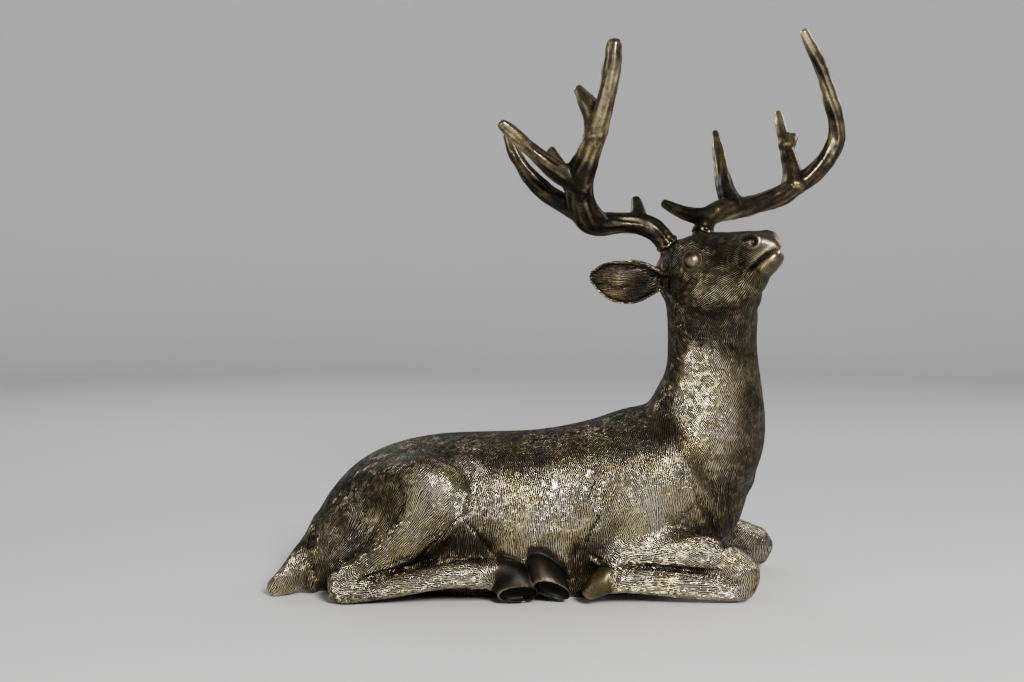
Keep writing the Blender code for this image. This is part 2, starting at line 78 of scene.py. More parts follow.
TINES_RIGHT = (
    ((124.0, -4.0, 360.0, 7.5), (125.5, 6.0, 373.0, 6.0), (124.0, 17.0, 385.0, 3.4)),
    ((66.0, -26.0, 376.0, 11.0), (49.0, -20.0, 381.5, 9.0), (30.0, -17.0, 394.5, 7.2),
     (14.0, -15.0, 411.0, 6.2), (2.0, -11.0, 431.0, 5.0), (-4.0, -8.0, 447.0, 3.2)),
    ((66.0, -52.0, 400.0, 12.0), (50.0, -59.0, 405.0, 9.0), (33.0, -66.0, 416.0, 7.4),
     (18.0, -71.0, 428.0, 6.2), (2.0, -78.0, 442.0, 5.0), (-9.0, -83.0, 451.0, 3.4)),
    ((60.0, -46.0, 398.0, 9.0), (50.0, -48.0, 407.0, 7.0), (43.0, -44.0, 419.0, 5.2),
     (37.5, -40.0, 430.0, 3.2)),
    ((77.0, -84.0, 442.0, 9.0), (74.0, -84.0, 461.0, 7.4), (67.5, -79.0, 474.0, 6.2),
     (62.0, -73.0, 484.0, 4.2)),
)
BEAM_LEFT = (
    (190.5, 16.0, 350.5, 10.8), (197.0, 22.0, 366.5, 10.2), (211.0, 32.0, 374.5, 10.2),
    (228.0, 44.0, 377.0, 9.8), (248.0, 56.0, 381.5, 9.4), (276.5, 70.0, 390.5, 9.8),
    (302.0, 80.0, 405.0, 9.6), (322.0, 84.0, 421.0, 9.0), (334.0, 85.0, 437.5, 8.7),
    (339.5, 84.0, 453.0, 8.6), (338.0, 80.0, 470.5, 8.0), (332.0, 74.0, 488.5, 7.4),
    (323.5, 66.0, 508.0, 6.8), (315.5, 58.0, 524.0, 6.0), (306.0, 50.0, 538.0, 5.4),
    (299.0, 45.0, 549.0, 4.6), (295.0, 42.5, 555.0, 3.8),
)
TINES_LEFT = (
    ((206.0, 28.0, 372.0, 8.0), (190.0, 24.0, 368.5, 7.0), (172.0, 32.0, 374.0, 5.4),
     (155.0, 39.0, 382.5, 3.2)),
    ((228.0, 44.0, 376.0, 9.6), (221.5, 56.0, 393.0, 8.2), (219.5, 78.0, 416.0, 6.4),
     (218.5, 100.0, 441.0, 4.8), (217.5, 116.0, 460.0, 2.8)),
    ((294.0, 78.0, 401.0, 9.4), (294.0, 87.0, 419.0, 8.0), (291.5, 100.0, 441.0, 6.8),
     (288.5, 114.0, 463.0, 4.8), (286.5, 125.0, 482.0, 2.8)),
    ((291.0, 102.0, 444.0, 6.6), (297.0, 106.0, 452.0, 5.4), (301.0, 108.0, 456.0, 3.2)),
)
# legs: x, y, z, half thickness sideways, half thickness in the plane of the leg
THIGH = ((-128.0, -34.0, 94.0, 24.0, 32.0), (-106.0, -44.0, 96.0, 27.0, 40.0),
         (-80.0, -54.0, 101.0, 26.0, 40.0), (-62.0, -60.0, 103.0, 20.0, 29.0))
GASKIN = ((-64.0, -58.0, 108.0, 20.0, 25.0), (-74.0, -62.0, 86.0, 21.0, 28.0),
          (-93.0, -67.0, 65.0, 19.0, 23.0), (-118.0, -71.0, 47.0, 17.0, 17.0),
          (-142.0, -75.0, 33.0, 15.0, 14.0), (-162.0, -77.0, 20.0, 14.0, 14.5))
HOCK = ((-158.0, -77.0, 22.0, 14.0, 16.0), (-163.0, -77.0, 14.0, 14.0, 14.5),
        (-140.0, -79.0, 13.5, 12.0, 11.0), (-112.0, -81.0, 18.0, 12.0, 11.0),
        (-86.0, -83.0, 24.0, 12.5, 11.8), (-58.0, -84.0, 29.0, 13.5, 12.5),
        (-36.0, -85.0, 31.0, 14.5, 14.0), (-24.0, -85.0, 31.0, 13.0, 13.0))
FOREARM = ((84.0, -58.0, 46.0, 19.0, 17.0), (104.0, -60.0, 46.0, 20.0, 16.5),
           (134.0, -63.0, 47.0, 20.0, 18.0), (164.0, -65.0, 48.0, 19.0, 19.0),
           (190.0, -68.0, 44.0, 17.5, 16.5), (211.0, -71.0, 37.0, 16.0, 15.5),
           (224.0, -72.0, 27.0, 15.0, 14.5))
CANNON = ((223.0, -72.0, 24.0, 14.5, 14.0), (216.0, -73.0, 14.5, 13.0, 13.0),
          (188.0, -76.0, 15.5, 12.0, 12.5), (160.0, -78.0, 18.0, 12.0, 12.5),
          (128.0, -80.0, 21.5, 12.0, 12.0), (104.0, -81.0, 24.5, 12.5, 13.0),
          (92.0, -81.0, 25.5, 13.5, 14.0))
FORE_HOOF = ((97.0, -81.5, 25.0, 13.0, 13.5), (89.0, -82.0, 24.0, 13.5, 13.5),
             (81.0, -83.0, 19.5, 13.0, 11.5), (73.0, -84.0, 13.5, 10.5, 8.0))
HOOF_A = ((-38.0, -83.0, 29.0, 13.0, 13.0), (-22.0, -81.0, 30.0, 15.0, 14.0), (-8.0, -79.0, 27.0, 18.0, 14.5),
          (2.0, -81.0, 19.0, 19.5, 12.5), (6.0, -86.0, 10.5, 19.5, 10.8))
HOOF_B = ((14.0, -62.0, 34.0, 12.0, 13.0), (24.0, -67.0, 34.0, 15.0, 14.0), (33.0, -75.0, 25.0, 18.5, 13.0),
          (38.0, -84.0, 14.0, 19.5, 10.5))
SOLE_A, SOLE_B = (0.10, -0.83, -0.55), (-0.05, -0.83, -0.55)
KNEE = ((217.5, -71.0, 33.0, 14.0, 13.5), (218.5, -72.0, 22.0, 14.0, 13.5), (218.5, -72.5, 12.5, 13.5, 13.0))
SHOULDER = ((158.0, -32.0, 138.0, 26.0, 38.0), (142.0, -42.0, 112.0, 28.0, 42.0),
            (122.0, -50.0, 84.0, 26.0, 36.0), (98.0, -58.0, 58.0, 20.0, 24.0))
FAR_HOCK = ((-158.0, 77.0, 22.0, 14.0, 16.0), (-163.0, 77.0, 14.0, 14.0, 14.5),
            (-142.0, 74.0, 13.5, 12.0, 11.5), (-114.0, 66.0, 14.0, 12.0, 11.5),
            (-86.0, 52.0, 14.0, 12.0, 12.0), (-60.0, 34.0, 14.0, 12.0, 12.0))
FAR_FORE_FORWARD = 40.0
FAR_FORE_DROP = 6.0
TAIL = ((-179.0, -8.0, 60.0, 18.0, 22.0), (-188.5, -20.0, 44.0, 16.0, 20.0),
        (-199.5, -32.0, 31.0, 17.0, 19.0), (-213.0, -41.0, 18.0, 15.0, 16.0),
        (-231.0, -48.0, 7.0, 10.0, 9.5))
TAIL_FOLD = ((-188.0, -24.0, 38.0, 14.0, 14.0), (-190.0, -33.0, 23.0, 14.0, 13.0), (-196.0, -40.0, 10.0, 12.0, 10.0))
EAR_ROOT = (-13.0, -30.0, -36.0)
EAR_TIP = (-37.0, -100.0, -14.0)
EAR_HALF_HEIGHT = 20.5
EAR_SAG = 4.0


# ================================================================ lofting
def smooth_rows(rows, count):
    rows = np.asarray(rows, float)
    ext = np.vstack([2 * rows[0] - rows[1], rows, 2 * rows[-1] - rows[-2]])
    fine = []
    for i in range(1, len(ext) - 2):
        a, b, c, d = ext[i - 1], ext[i], ext[i + 1], ext[i + 2]
        for t in np.linspace(0.0, 1.0, 24, endpoint=False):
            fine.append(0.5 * (2 * b + (c - a) * t + (2 * a - 5 * b + 4 * c - d) * t * t
                               + (3 * b - a - 3 * c + d) * t ** 3))
    fine.append(rows[-1])
    fine = np.array(fine)
    run = np.concatenate([[0.0], np.cumsum(np.linalg.norm(np.diff(fine[:, :3], axis=0), axis=1))])
    at = np.linspace(0.0, run[-1], count)
    return np.column_stack([np.interp(at, run, fine[:, k]) for k in range(fine.shape[1])])


def ring(centre, side, up, half_side, half_up, half_down=None, power=2.0, sides=32):
    half_down = half_up if half_down is None else half_down
    a = 2 * np.pi * np.arange(sides) / sides
    c, s = np.cos(a), np.sin(a)
    x = np.sign(c) * np.abs(c) ** (2 / power) * half_side
    y = np.sign(s) * np.abs(s) ** (2 / power) * np.where(s > 0, half_up, half_down)
    return np.asarray(centre) + x[:, None] * side + y[:, None] * up


def cap_rings(first, second, steps=7):
    middle = first.mean(axis=0)
    axis = middle - second.mean(axis=0)
    axis /= np.linalg.norm(axis)
    reach = 0.5 * np.linalg.norm(first - middle, axis=1).min() + 0.25 * np.linalg.norm(first - middle, axis=1).max()
    return [middle + (first - middle) * math.cos(t) + axis * reach * math.sin(t)
            for t in np.linspace(0, math.pi / 2, steps + 2)[1:-1]], middle + axis * reach


def loft(bm, rings, dome=(True, True)):
    rings = list(rings)
    start = end = None
    if dome[0]:
        extra, start = cap_rings(rings[0], rings[1])
        rings = extra[::-1] + rings
    if dome[1]:
        extra, end = cap_rings(rings[-1], rings[-2])
        rings = rings + extra
    start = rings[0].mean(axis=0) if start is None else start
    end = rings[-1].mean(axis=0) if end is None else end
    loops = [[bm.verts.new(Vector(p)) for p in r] for r in rings]
    n = len(loops[0])
    for a, b in zip(loops, loops[1:]):
        for i in range(n):
            bm.faces.new((a[i], a[(i + 1) % n], b[(i + 1) % n], b[i]))
    for loop, tip, flip in ((loops[0], start, True), (loops[-1], end, False)):
        v = bm.verts.new(Vector(tip))
        for i in range(n):
            pair = (loop[i], loop[(i + 1) % n])
            bm.faces.new((pair[1], pair[0], v) if flip else (pair[0], pair[1], v))


def tube(bm, rows, count=32, sides=28, plane=(0.0, 1.0, 0.0), power=2.0, dome=(True, True)):
    rows = smooth_rows(rows, count)
    tangents = np.gradient(rows[:, :3], axis=0)
    rings = []
    for row, t in zip(rows, tangents):
        t = t / np.linalg.norm(t)
        side = np.asarray(plane, float) - t * np.dot(plane, t)
        side /= np.linalg.norm(side)
        rings.append(ring(row[:3], side, np.cross(t, side), row[3], row[4] if len(row) > 4 else row[3],
                          power=power, sides=sides))
    loft(bm, rings, dome)


def ball(bm, centre, radii, axes=None):
    """An ellipsoid with its own axes."""
    axes = np.eye(3) if axes is None else np.asarray(axes, float)
    a, b, c = (axes[k] * radii[k] for k in range(3))
    centre = np.asarray(centre, float)
    turn = 2 * np.pi * np.arange(24)[:, None] / 24
    rings = [centre + c * math.cos(t) + math.sin(t) * (np.cos(turn) * a + np.sin(turn) * b)
             for t in np.linspace(math.pi * 0.04, math.pi * 0.96, 15)]
    loft(bm, rings, dome=(False, False))


def mirrored(rows, forward=0.0, drop=0.0):
    return tuple((r[0] + forward, -r[1], r[2] - drop) + tuple(r[3:]) for r in rows)


def unit(v):
    v = np.asarray(v, float)
    return v / np.linalg.norm(v)


def head_frame():
    yaw, pitch, roll = (math.radians(v) for v in (HEAD_YAW, HEAD_PITCH, HEAD_ROLL))
    f = np.array([math.cos(pitch) * math.cos(yaw), -math.cos(pitch) * math.sin(yaw), math.sin(pitch)])
    l0 = np.array([math.sin(yaw), math.cos(yaw), 0.0])
    u0 = np.cross(f, l0)
    return (np.array(HEAD_AT), f, math.cos(roll) * l0 + math.sin(roll) * u0,
            -math.sin(roll) * l0 + math.cos(roll) * u0)


HO, HF, HL, HU = head_frame()


def head_point(f, l, u):
    return HO + f * HF + l * HL + u * HU


# ================================================================ meshes as arrays
def mesh_of(bm, name="scratch"):
    bmesh.ops.recalc_face_normals(bm, faces=bm.faces)
    mesh = bpy.data.meshes.new(name)
    bm.to_mesh(mesh)
    bm.free()
    return mesh


def through(mesh, build):
    """The mesh after modifiers, in millimetres all the way."""
    obj = bpy.data.objects.new("scratch", mesh)
    bpy.context.scene.collection.objects.link(obj)
    build(obj)
    deps = bpy.context.evaluated_depsgraph_get()
    out = bpy.data.meshes.new_from_object(obj.evaluated_get(deps))
    bpy.data.objects.remove(obj, do_unlink=True)
    bpy.data.meshes.remove(mesh)
    return out


def remesh(mesh, voxel):
    def build(obj):
        m = obj.modifiers.new("Merge", "REMESH")
        m.mode = "VOXEL"
        m.voxel_size = voxel
    return through(mesh, build)


def arrays(mesh):
    co = np.empty(len(mesh.vertices) * 3, np.float32)
    mesh.vertices.foreach_get("co", co)
    ed = np.empty(len(mesh.edges) * 2, np.int32)
    mesh.edges.foreach_get("vertices", ed)
    return co.reshape(-1, 3).astype(float), ed.reshape(-1, 2)


def store(mesh, co):
    mesh.vertices.foreach_set("co", co.astype(np.float32).ravel())
    mesh.update()


def normals(mesh, co=None):
    if co is not None:
        store(mesh, co)
    n = np.empty(len(mesh.vertices) * 3, np.float32)
    mesh.vertex_normals.foreach_get("vector", n)
    return n.reshape(-1, 3).astype(float)


def relax(values, edges, rounds, weight=0.5):
    """Neighbour averaging of any per-vertex values; weight may be a number or per vertex."""
    v = np.array(values, float)
    flat = v.ndim == 1
    v = v.reshape(len(v), -1)
    a, b = edges[:, 0], edges[:, 1]
    deg = np.bincount(a, minlength=len(v)) + np.bincount(b, minlength=len(v))
    deg = np.maximum(deg, 1)[:, None]
    w = np.broadcast_to(np.asarray(weight, float), (len(v),))[:, None]
    for _ in range(rounds):
        s = np.stack([np.bincount(a, v[b, k], len(v)) + np.bincount(b, v[a, k], len(v))
                      for k in range(v.shape[1])], axis=1)
        v = v + w * (s / deg - v)
    return v[:, 0] if flat else v


def path_distance(p, path):
    """Distance of each point from a polyline, and the place along it from 0 to 1."""
    path = np.asarray(path, float)
    best = np.full(len(p), 1e9)
    where = np.zeros(len(p))
    seg = np.linalg.norm(np.diff(path, axis=0), axis=1)
    total, run = seg.sum(), 0.0
    for a, b, length in zip(path, path[1:], seg):
        d = b - a
        t = np.clip(((p - a) @ d) / (d @ d), 0, 1)
        dist = np.linalg.norm(p - (a + t[:, None] * d), axis=1)
        near = dist < best
        best[near] = dist[near]
        where[near] = (run + t[near] * length) / total
        run += length
    return best, where


def near_box(p, path, reach):
    path = np.asarray(path, float)
    return np.where(((p > path.min(0) - reach) & (p < path.max(0) + reach)).all(1))[0]


def carve(co, nor, path, width, depth, taper=0.25, push=None):
    """A rounded groove (or with a negative depth a ridge) along a smooth path."""
    path = smooth_rows(path, max(8, 6 * len(path)))
    idx = near_box(co, path, 3 * width)
    if len(idx) == 0:
        return
    d, t = path_distance(co[idx], path)
    ends = np.clip(np.minimum(t, 1 - t) / max(taper, 1e-6), 0, 1) if taper else 1.0
    amount = depth * np.exp(-(d / width) ** 2) * np.sqrt(ends) if taper else depth * np.exp(-(d / width) ** 2)
    direction = nor[idx] if push is None else np.asarray(push, float)
    co[idx] -= direction * np.asarray(amount)[:, None]


def swell(co, nor, centre, radii, height, axes=None, push=None):
    """A soft bump (or with a negative height a hollow)."""
    axes = np.eye(3) if axes is None else np.asarray(axes, float)
    rel = ((co - np.asarray(centre, float)) @ axes.T) / np.asarray(radii, float)
    q = (rel ** 2).sum(1)
    idx = np.where(q < 6)[0]
    direction = nor[idx] if push is None else np.asarray(push, float)
    co[idx] += direction * (height * np.exp(-q[idx]))[:, None]


# ================================================================ the viewpoint
FOCAL, DISTANCE, EYE_HEIGHT, DOWN = 1340.0, 1330.0, 335.0, math.radians(3.88)


def eye_point():
    return np.array((0.0, -DISTANCE, EYE_HEIGHT))


def sight(px, py):
    """Direction of the line of sight through a point of the 1024 x 682 view."""
    u, v = (px - 512.0) / FOCAL, (341.0 - py) / FOCAL
    return unit((u, math.cos(DOWN) + v * math.sin(DOWN), -math.sin(DOWN) + v * math.cos(DOWN)))


def tree_of(mesh):
    from mathutils.bvhtree import BVHTree
    co, _ = arrays(mesh)
    mesh.calc_loop_triangles()
    tri = np.empty(len(mesh.loop_triangles) * 3, np.int32)
    mesh.loop_triangles.foreach_get("vertices", tri)
    return BVHTree.FromPolygons([tuple(p) for p in co], [tuple(t) for t in tri.reshape(-1, 3)])


def seen(tree, points):
    """Points of the view laid on the surface that they show."""
    out = []
    for px, py in points:
        hit = tree.ray_cast(Vector(eye_point()), Vector(sight(px, py)))
        if hit[0] is not None:
            out.append(np.array(hit[0]))
    return out


def far_side(tree, points, forward=0.0):
    out = []
    for p in points:
        hit = tree.find_nearest(Vector((p[0] + forward, -p[1], p[2])))
        out.append(np.array(hit[0]))
    return out


# ================================================================ masses of the animal
def trunk(bm):
    rows = smooth_rows([(x, 0.0, 0.0, w, t, b, m) for x, w, t, b, m in TRUNK], 48)
    loft(bm, [ring((x, 0.0, m), np.array([0, 1.0, 0]), np.array([0, 0, 1.0]), w, t - m, m - b, 2.15, 40)
              for x, _, _, w, t, b, m in rows])


def neck(bm):
    rows = smooth_rows([(cx, cy, z, a, w, turn) for z, cx, cy, a, w, turn in NECK], 34)
    rings = []
    for x, y, z, a, w, turn in rows:
        c, s = math.cos(math.radians(turn)), math.sin(math.radians(turn))
        rings.append(ring((x, y, z), np.array([c, -s, 0.0]), np.array([s, c, 0.0]), a, w, power=2.1, sides=40))
    loft(bm, rings)


def head(bm):
    rows = smooth_rows([(f, 0.0, 0.0, w, t, b, m) for f, w, t, b, m in HEAD], 44)
    loft(bm, [ring(HO + HF * f + HU * m, HL, HU, w, t - m, m - b, 2.2, 40) for f, _, _, w, t, b, m in rows])
    tube(bm, [tuple(head_point(80, 0, -58)) + (13.0, 13.0), tuple(head_point(66, 0, -68)) + (16.0, 16.0),
              (219.0, -46.0, 300.0, 21.0, 21.0), (208.0, -26.0, 272.0, 27.0, 26.0),
              (204.0, -10.0, 240.0, 30.0, 30.0)], 20, 28, plane=tuple(HL))
    for sign in (-1, 1):
        # brow shelf over the eye, and the cheek
        tube(bm, [tuple(head_point(6, sign * 23, -14)) + (8.0,), tuple(head_point(19, sign * 25.5, -15)) + (8.5,),
                  tuple(head_point(33, sign * 21, -18)) + (7.0,)], 12, 20, plane=tuple(HU))
        ball(bm, head_point(10, sign * 16, -54), (30.0, 15.0, 20.0), (HF, HL, HU))
        # pads beside the nostrils
        ball(bm, head_point(88, sign * 9.5, -41), (15.0, 10.0, 13.0), (HF, HL, HU))


def pedicle(bm, seam):
    centre, axis = np.array(seam[0]), unit(seam[1])
    tube(bm, [tuple(centre + axis * d) + (PEDICLE_RADIUS,) for d in (-22.0, -11.0, 5.0)], 12, 28, plane=(0.0, 1.0, 0.2))


def masses():
    bm = bmesh.new()
    trunk(bm)
    neck(bm)
    head(bm)
    side = (0.0, 1.0, 0.0)
    for rows in (THIGH, GASKIN, SHOULDER, FOREARM, CANNON, KNEE):
        power = 3.2 if rows is KNEE else 2.1
        tube(bm, rows, plane=side, power=power)
        far = FAR_FORE_FORWARD if rows in (FOREARM, CANNON, KNEE) else 0.0
        tube(bm, mirrored(rows, far, FAR_FORE_DROP if rows is FOREARM else 0.0), plane=side, power=power)
    tube(bm, HOCK, 44, plane=side, power=2.1)
    tube(bm, FAR_HOCK, 44, plane=side, power=2.1)
    tube(bm, TAIL, 26, plane=side)
    tube(bm, TAIL_FOLD, 18, plane=side)
    pedicle(bm, SEAM_RIGHT)
    pedicle(bm, SEAM_LEFT)
    return mesh_of(bm)


# ================================================================ ears and hooves
def ear_axes(sign):
    root, tip = head_point(EAR_ROOT[0], -sign * EAR_ROOT[1], EAR_ROOT[2]), head_point(EAR_TIP[0], -sign * EAR_TIP[1], EAR_TIP[2])
    along = unit(tip - root)
    opening = 0.72 * HF + sign * 0.656 * HL - 0.22 * HU
    opening = unit(opening - along * (opening @ along))
    across = unit(np.cross(opening, along))
    return along, opening, across if across @ HU > 0 else -across


def ear(bm, sign):
    """A leaf with a hollow that opens forward; sign -1 is the right ear."""
    root, tip = head_point(EAR_ROOT[0], -sign * EAR_ROOT[1], EAR_ROOT[2]), head_point(EAR_TIP[0], -sign * EAR_TIP[1], EAR_TIP[2])
    along, opening, across = ear_axes(sign)
    rings, top, low = [], [], []
    for t in np.linspace(0.0, 1.0, 26):
        middle = root + (tip - root) * t - across * EAR_SAG * math.sin(math.pi * t)
        if t < 0.5:
            half = EAR_HALF_HEIGHT * (0.36 + 0.64 * math.sin(math.pi * t) ** 1.15)
        else:
            half = EAR_HALF_HEIGHT * max(0.10, 1.0 - ((t - 0.5) / 0.5) ** 2.3) ** 0.62
        deep = 14.0 * (1 - 0.74 * t) + 1.0
        wall = 2.3 + 5.5 * max(0.0, 1 - t / 0.16)
        a = np.linspace(0.0, math.pi, 16)
        outer = np.stack([half * np.cos(a), -deep * np.sin(a) ** 0.8], 1)
        b = np.linspace(math.pi, 0.0, 16)[1:-1]
        inner = np.stack([(half - 1.5) * np.cos(b), -(max(deep - wall, 0.1)) * np.sin(b) ** 0.8 + 0.4], 1)
        flat = np.vstack([outer, inner])
        rings.append(middle + flat[:, :1] * across + flat[:, 1:] * opening)
        top.append(tuple(middle + across * (half - 0.6)) + (1.7 if t < 0.7 else 1.35,))
        low.append(tuple(middle - across * (half - 0.6)) + (1.5 if t < 0.7 else 1.3,))
    loft(bm, rings, dome=(False, False))
    tube(bm, top[1:], 40, 12, plane=tuple(opening))
    tube(bm, low[1:], 40, 12, plane=tuple(opening))
    # the near root of each rim rolls into the hollow
    tube(bm, [tuple(root + (tip - root) * t + across * h + opening * d) + (r,)
              for t, h, d, r in ((0.02, 6.0, 3.0, 2.6), (0.16, 11.5, 2.8, 2.4), (0.32, 16.0, 1.8, 2.0), (0.48, 18.0, 0.8, 1.5))],
         16, 12, plane=tuple(opening))
    return root, along, across, opening


def hoof(bm, rows, plane, sole, hollow, lip=1.5):
    """Horn wall that grows to the rim of the sole, and a hollowed sole."""
    rows = smooth_rows(rows, 26)
    tangents = np.gradient(rows[:, :3], axis=0)
    rings = []
    for k, (row, t) in enumerate(zip(rows, tangents)):
        mix = (k / (len(rows) - 1.0)) ** 2
        t = unit((1 - mix) * unit(t) + mix * np.array(sole))
        side = unit(np.asarray(plane, float) - t * np.dot(plane, t))
        up = np.cross(t, side)
        rings.append(ring(row[:3], side, up, row[3], row[4], power=2.15, sides=40))
    end = rows[-1]
    for shrink, back in ((lip, 0.2), (lip + 0.5, -1.0), (lip + 1.6, -hollow * 0.75), (end[3] * 0.45, -hollow),
                         (end[3] * 0.8, -hollow * 1.05)):
        rings.append(ring(end[:3] + t * back, side, up, max(end[3] - shrink, 1.0), max(end[4] - shrink * end[4] / end[3], 0.8),
                          power=2.15, sides=40))
    loft(bm, rings, dome=(True, False))


def hooves(bm):
    hoof(bm, HOOF_A, (1.0, 0.0, 0.0), SOLE_A, 6.5)
    hoof(bm, HOOF_B, (0.85, 0.0, -0.53), SOLE_B, 6.5)
    for rows in (FORE_HOOF, mirrored(FORE_HOOF, FAR_FORE_FORWARD)):
        tube(bm, rows, 26, 32, plane=(0.0, 1.0, 0.0), power=2.1)


# ================================================================ the body
def flip_head(p):
    """The same place on the other side of the head."""
    r = np.asarray(p, float) - HO
    return head_point(r @ HF, -(r @ HL), r @ HU)


def at(tree, px, py):
    hits = seen(tree, [(px, py)])
    return hits[0] if hits else None


def coarse_body():
    mesh = remesh(masses(), 2.4)
    co, ed = arrays(mesh)
    co = relax(co, ed, 8, 0.55)
    store(mesh, co)
    # where one mass runs into the next without a crease
    melt = np.clip(blobs(co, tree_of(mesh), MELT), 0, 1)
    co = relax(co, ed, 70, 0.85 * melt)
    store(mesh, co)
    return mesh


def eyes(tree):
    centre = at(tree, 691.5, 260.4)
    inward = unit(centre - head_point(14.0, 0.0, -30.0))
    centre = centre - inward * 5.2
    return [centre, flip_head(centre)], [inward, unit(flip_head(centre + inward) - flip_head(centre))]


def join_parts(mesh, tree):
    bm = bmesh.new()
    bm.from_mesh(mesh)
    ear(bm, -1)
    ear(bm, 1)
    hooves(bm)
    centres, outs = eyes(tree)
    for centre in centres:
        ball(bm, centre, (8.6, 8.6, 8.6))
    # lids: two soft ridges over the ball and one under it
    for centre, out in zip(centres, outs):
        flip = centre is centres[1]
        f, u = HF, HU
        u2 = unit(u - out * (u @ out))
        f2 = unit(f - out * (f @ out))
        for radius, lift, thick, start, stop in ((9.2, 2.6, 1.5, -12, 196), (12.0, 1.0, 1.35, 20, 172), (9.4, 2.2, 1.3, 200, 344)):
            arc = []
            for deg in np.linspace(start, stop, 9):
                a = math.radians(deg)
                squash = 0.92 if deg < 190 else 0.86
                arc.append(tuple(centre + out * lift + f2 * radius * math.cos(a) * 1.06 + u2 * radius * squash * math.sin(a))
                           + (thick * (0.55 + 0.45 * math.sin(math.pi * (deg - start) / (stop - start))),))
            tube(bm, arc, 26, 10, plane=tuple(out))
    bpy.data.meshes.remove(mesh)
    return remesh(mesh_of(bm), BODY_VOXEL), centres, outs


def cut_flat(co, seam, reach=17.0, side=1.0, gap=0.15):
    """Ends a pedicle (or a beam) in the plane of its seam."""
    centre, axis = np.array(seam[0]), unit(seam[1]) * side
    rel = co - centre
    d = rel @ axis
    radial = np.linalg.norm(rel - d[:, None] * axis, axis=1)
    idx = np.where((d > -gap) & (d < 26) & (radial < reach))[0]
    co[idx] -= axis * (d[idx] + gap)[:, None]


BODY_VOXEL = 1.1


def both_head(tree, points):
    near = seen(tree, points)
    return [near, [np.array(tree.find_nearest(Vector(flip_head(p)))[0]) for p in near]]


def both_sides(tree, points, forward=0.0):
    near = seen(tree, points)
    return [near, far_side(tree, near, forward)]


MELT = (
    (398, 452, 16, 1.0), (420, 446, 16, 1.0), (445, 446, 13, 1.0), (376, 470, 16, 0.8), (470, 448, 10, 0.8),
    (636, 446, 16, 1.0), (664, 452, 14, 1.0), (612, 470, 16, 1.0), (690, 462, 12, 0.8), (652, 430, 16, 0.8),
    (612, 540, 12, 1.0), (636, 534, 12, 1.0), (658, 530, 12, 1.0), (680, 528, 9, 0.7), (700, 462, 14, 0.6),
    (664, 398, 12, 0.6), (690, 322, 9, 0.6), (672, 312, 9, 0.6), (322, 500, 12, 0.8), (338, 560, 10, 0.5), (470, 572, 9, 0.8),
)
# creases of the body: points of the view, width, depth, how far forward the other side lies
CREASES = (
    # hamstring, from the haunch down to the hock
    (((405, 492), (400, 514), (387, 530), (373, 545), (357, 555), (345, 562), (334, 574), (329, 584)), 3.4, 5.0, 0),
    (((397, 476), (401, 490), (403, 500)), 5.0, 1.6, 0),
    (((384, 504), (376, 522), (366, 538), (352, 552)), 3.0, -1.8, 0),
    (((368, 506), (360, 522), (350, 536)), 3.6, 2.0, 0),
    # thigh: front edge, and the fold under it
    (((474, 462), (477, 480), (473, 498), (467, 512)), 4.2, 1.7, 0),
    (((468, 511), (453, 526), (440, 540), (428, 550), (414, 562)), 2.8, 4.6, 0),
    (((466, 520), (475, 531), (484, 543), (492, 556)), 2.4, 2.0, 0),
    # shank over the cannon of the hind leg
    (((358, 582), (372, 576), (389, 571), (405, 567), (422, 562)), 2.2, 4.0, 0),
    (((369, 572), (392, 564), (415, 555)), 2.0, 1.4, 0),
    (((395, 589), (420, 586), (446, 581), (474, 577)), 3.0, 1.0, 0),
    # elbow, and the forearm over the cannon of the fore leg
    (((599, 514), (595, 524), (590, 534), (585, 545)), 2.6, 2.6, 0),
    (((589, 552), (598, 559), (612, 566), (630, 566), (651, 567), (676, 569), (700, 571), (722, 571)), 2.2, 4.4, 0),
    (((590, 557), (598, 564), (616, 571.5), (629, 570.5), (651, 571.5), (680, 573.5), (710, 576)), 1.5, -1.0, 0),
    (((742, 583), (734, 584), (724, 580)), 2.6, 2.4, 0),
    (((650, 578), (676, 580), (704, 583)), 2.4, -0.9, 0),
    # front edge of the shoulder, and the fold between shoulder and brisket
    (((690, 478), (697, 494), (704, 508), (712, 524), (718, 538)), 3.6, 3.0, 0),
    (((620, 470), (608, 490), (602, 506)), 9.0, 0.6, 0),
    (((560, 470), (556, 500), (560, 530)), 16.0, 1.2, 0),
    # brisket that hangs over a dark hollow between the fore legs
    (((703, 541), (713, 545), (724, 544), (735, 540)), 3.4, 6.0, 0),
    (((700, 532), (712, 537), (724, 537), (736, 533)), 3.0, -1.8, 0),
    (((712, 480), (716, 505), (718, 530)), 3.0, 1.2, 0),
    (((728, 480), (729, 505), (729, 532)), 2.6, 1.0, 0),
    # root of the tail
    (((321, 506), (314, 526), (311, 545), (311, 560), (316, 580), (319, 592)), 2.6, 2.8, 0),
)
SWELLS = (
    # view point, radii along x, y, z, height
    ((464, 468), (9, 12, 15), 2.2), ((430, 500), (26, 16, 20), 2.0), ((384, 520), (8, 10, 16), 1.8),
    ((689, 500), (10, 12, 16), 2.2), ((660, 470), (26, 18, 24), 1.6), ((632, 520), (20, 14, 16), 1.6),
    ((704, 545), (22, 14, 8), 1.4), ((748, 575), (9, 10, 12), 1.6), ((345, 588), (14, 12, 10), 1.4),
    ((620, 586), (12, 10, 8), 1.6), ((575, 556), (7, 10, 12), -3.0), ((480, 556), (10, 10, 12), -2.0),
)


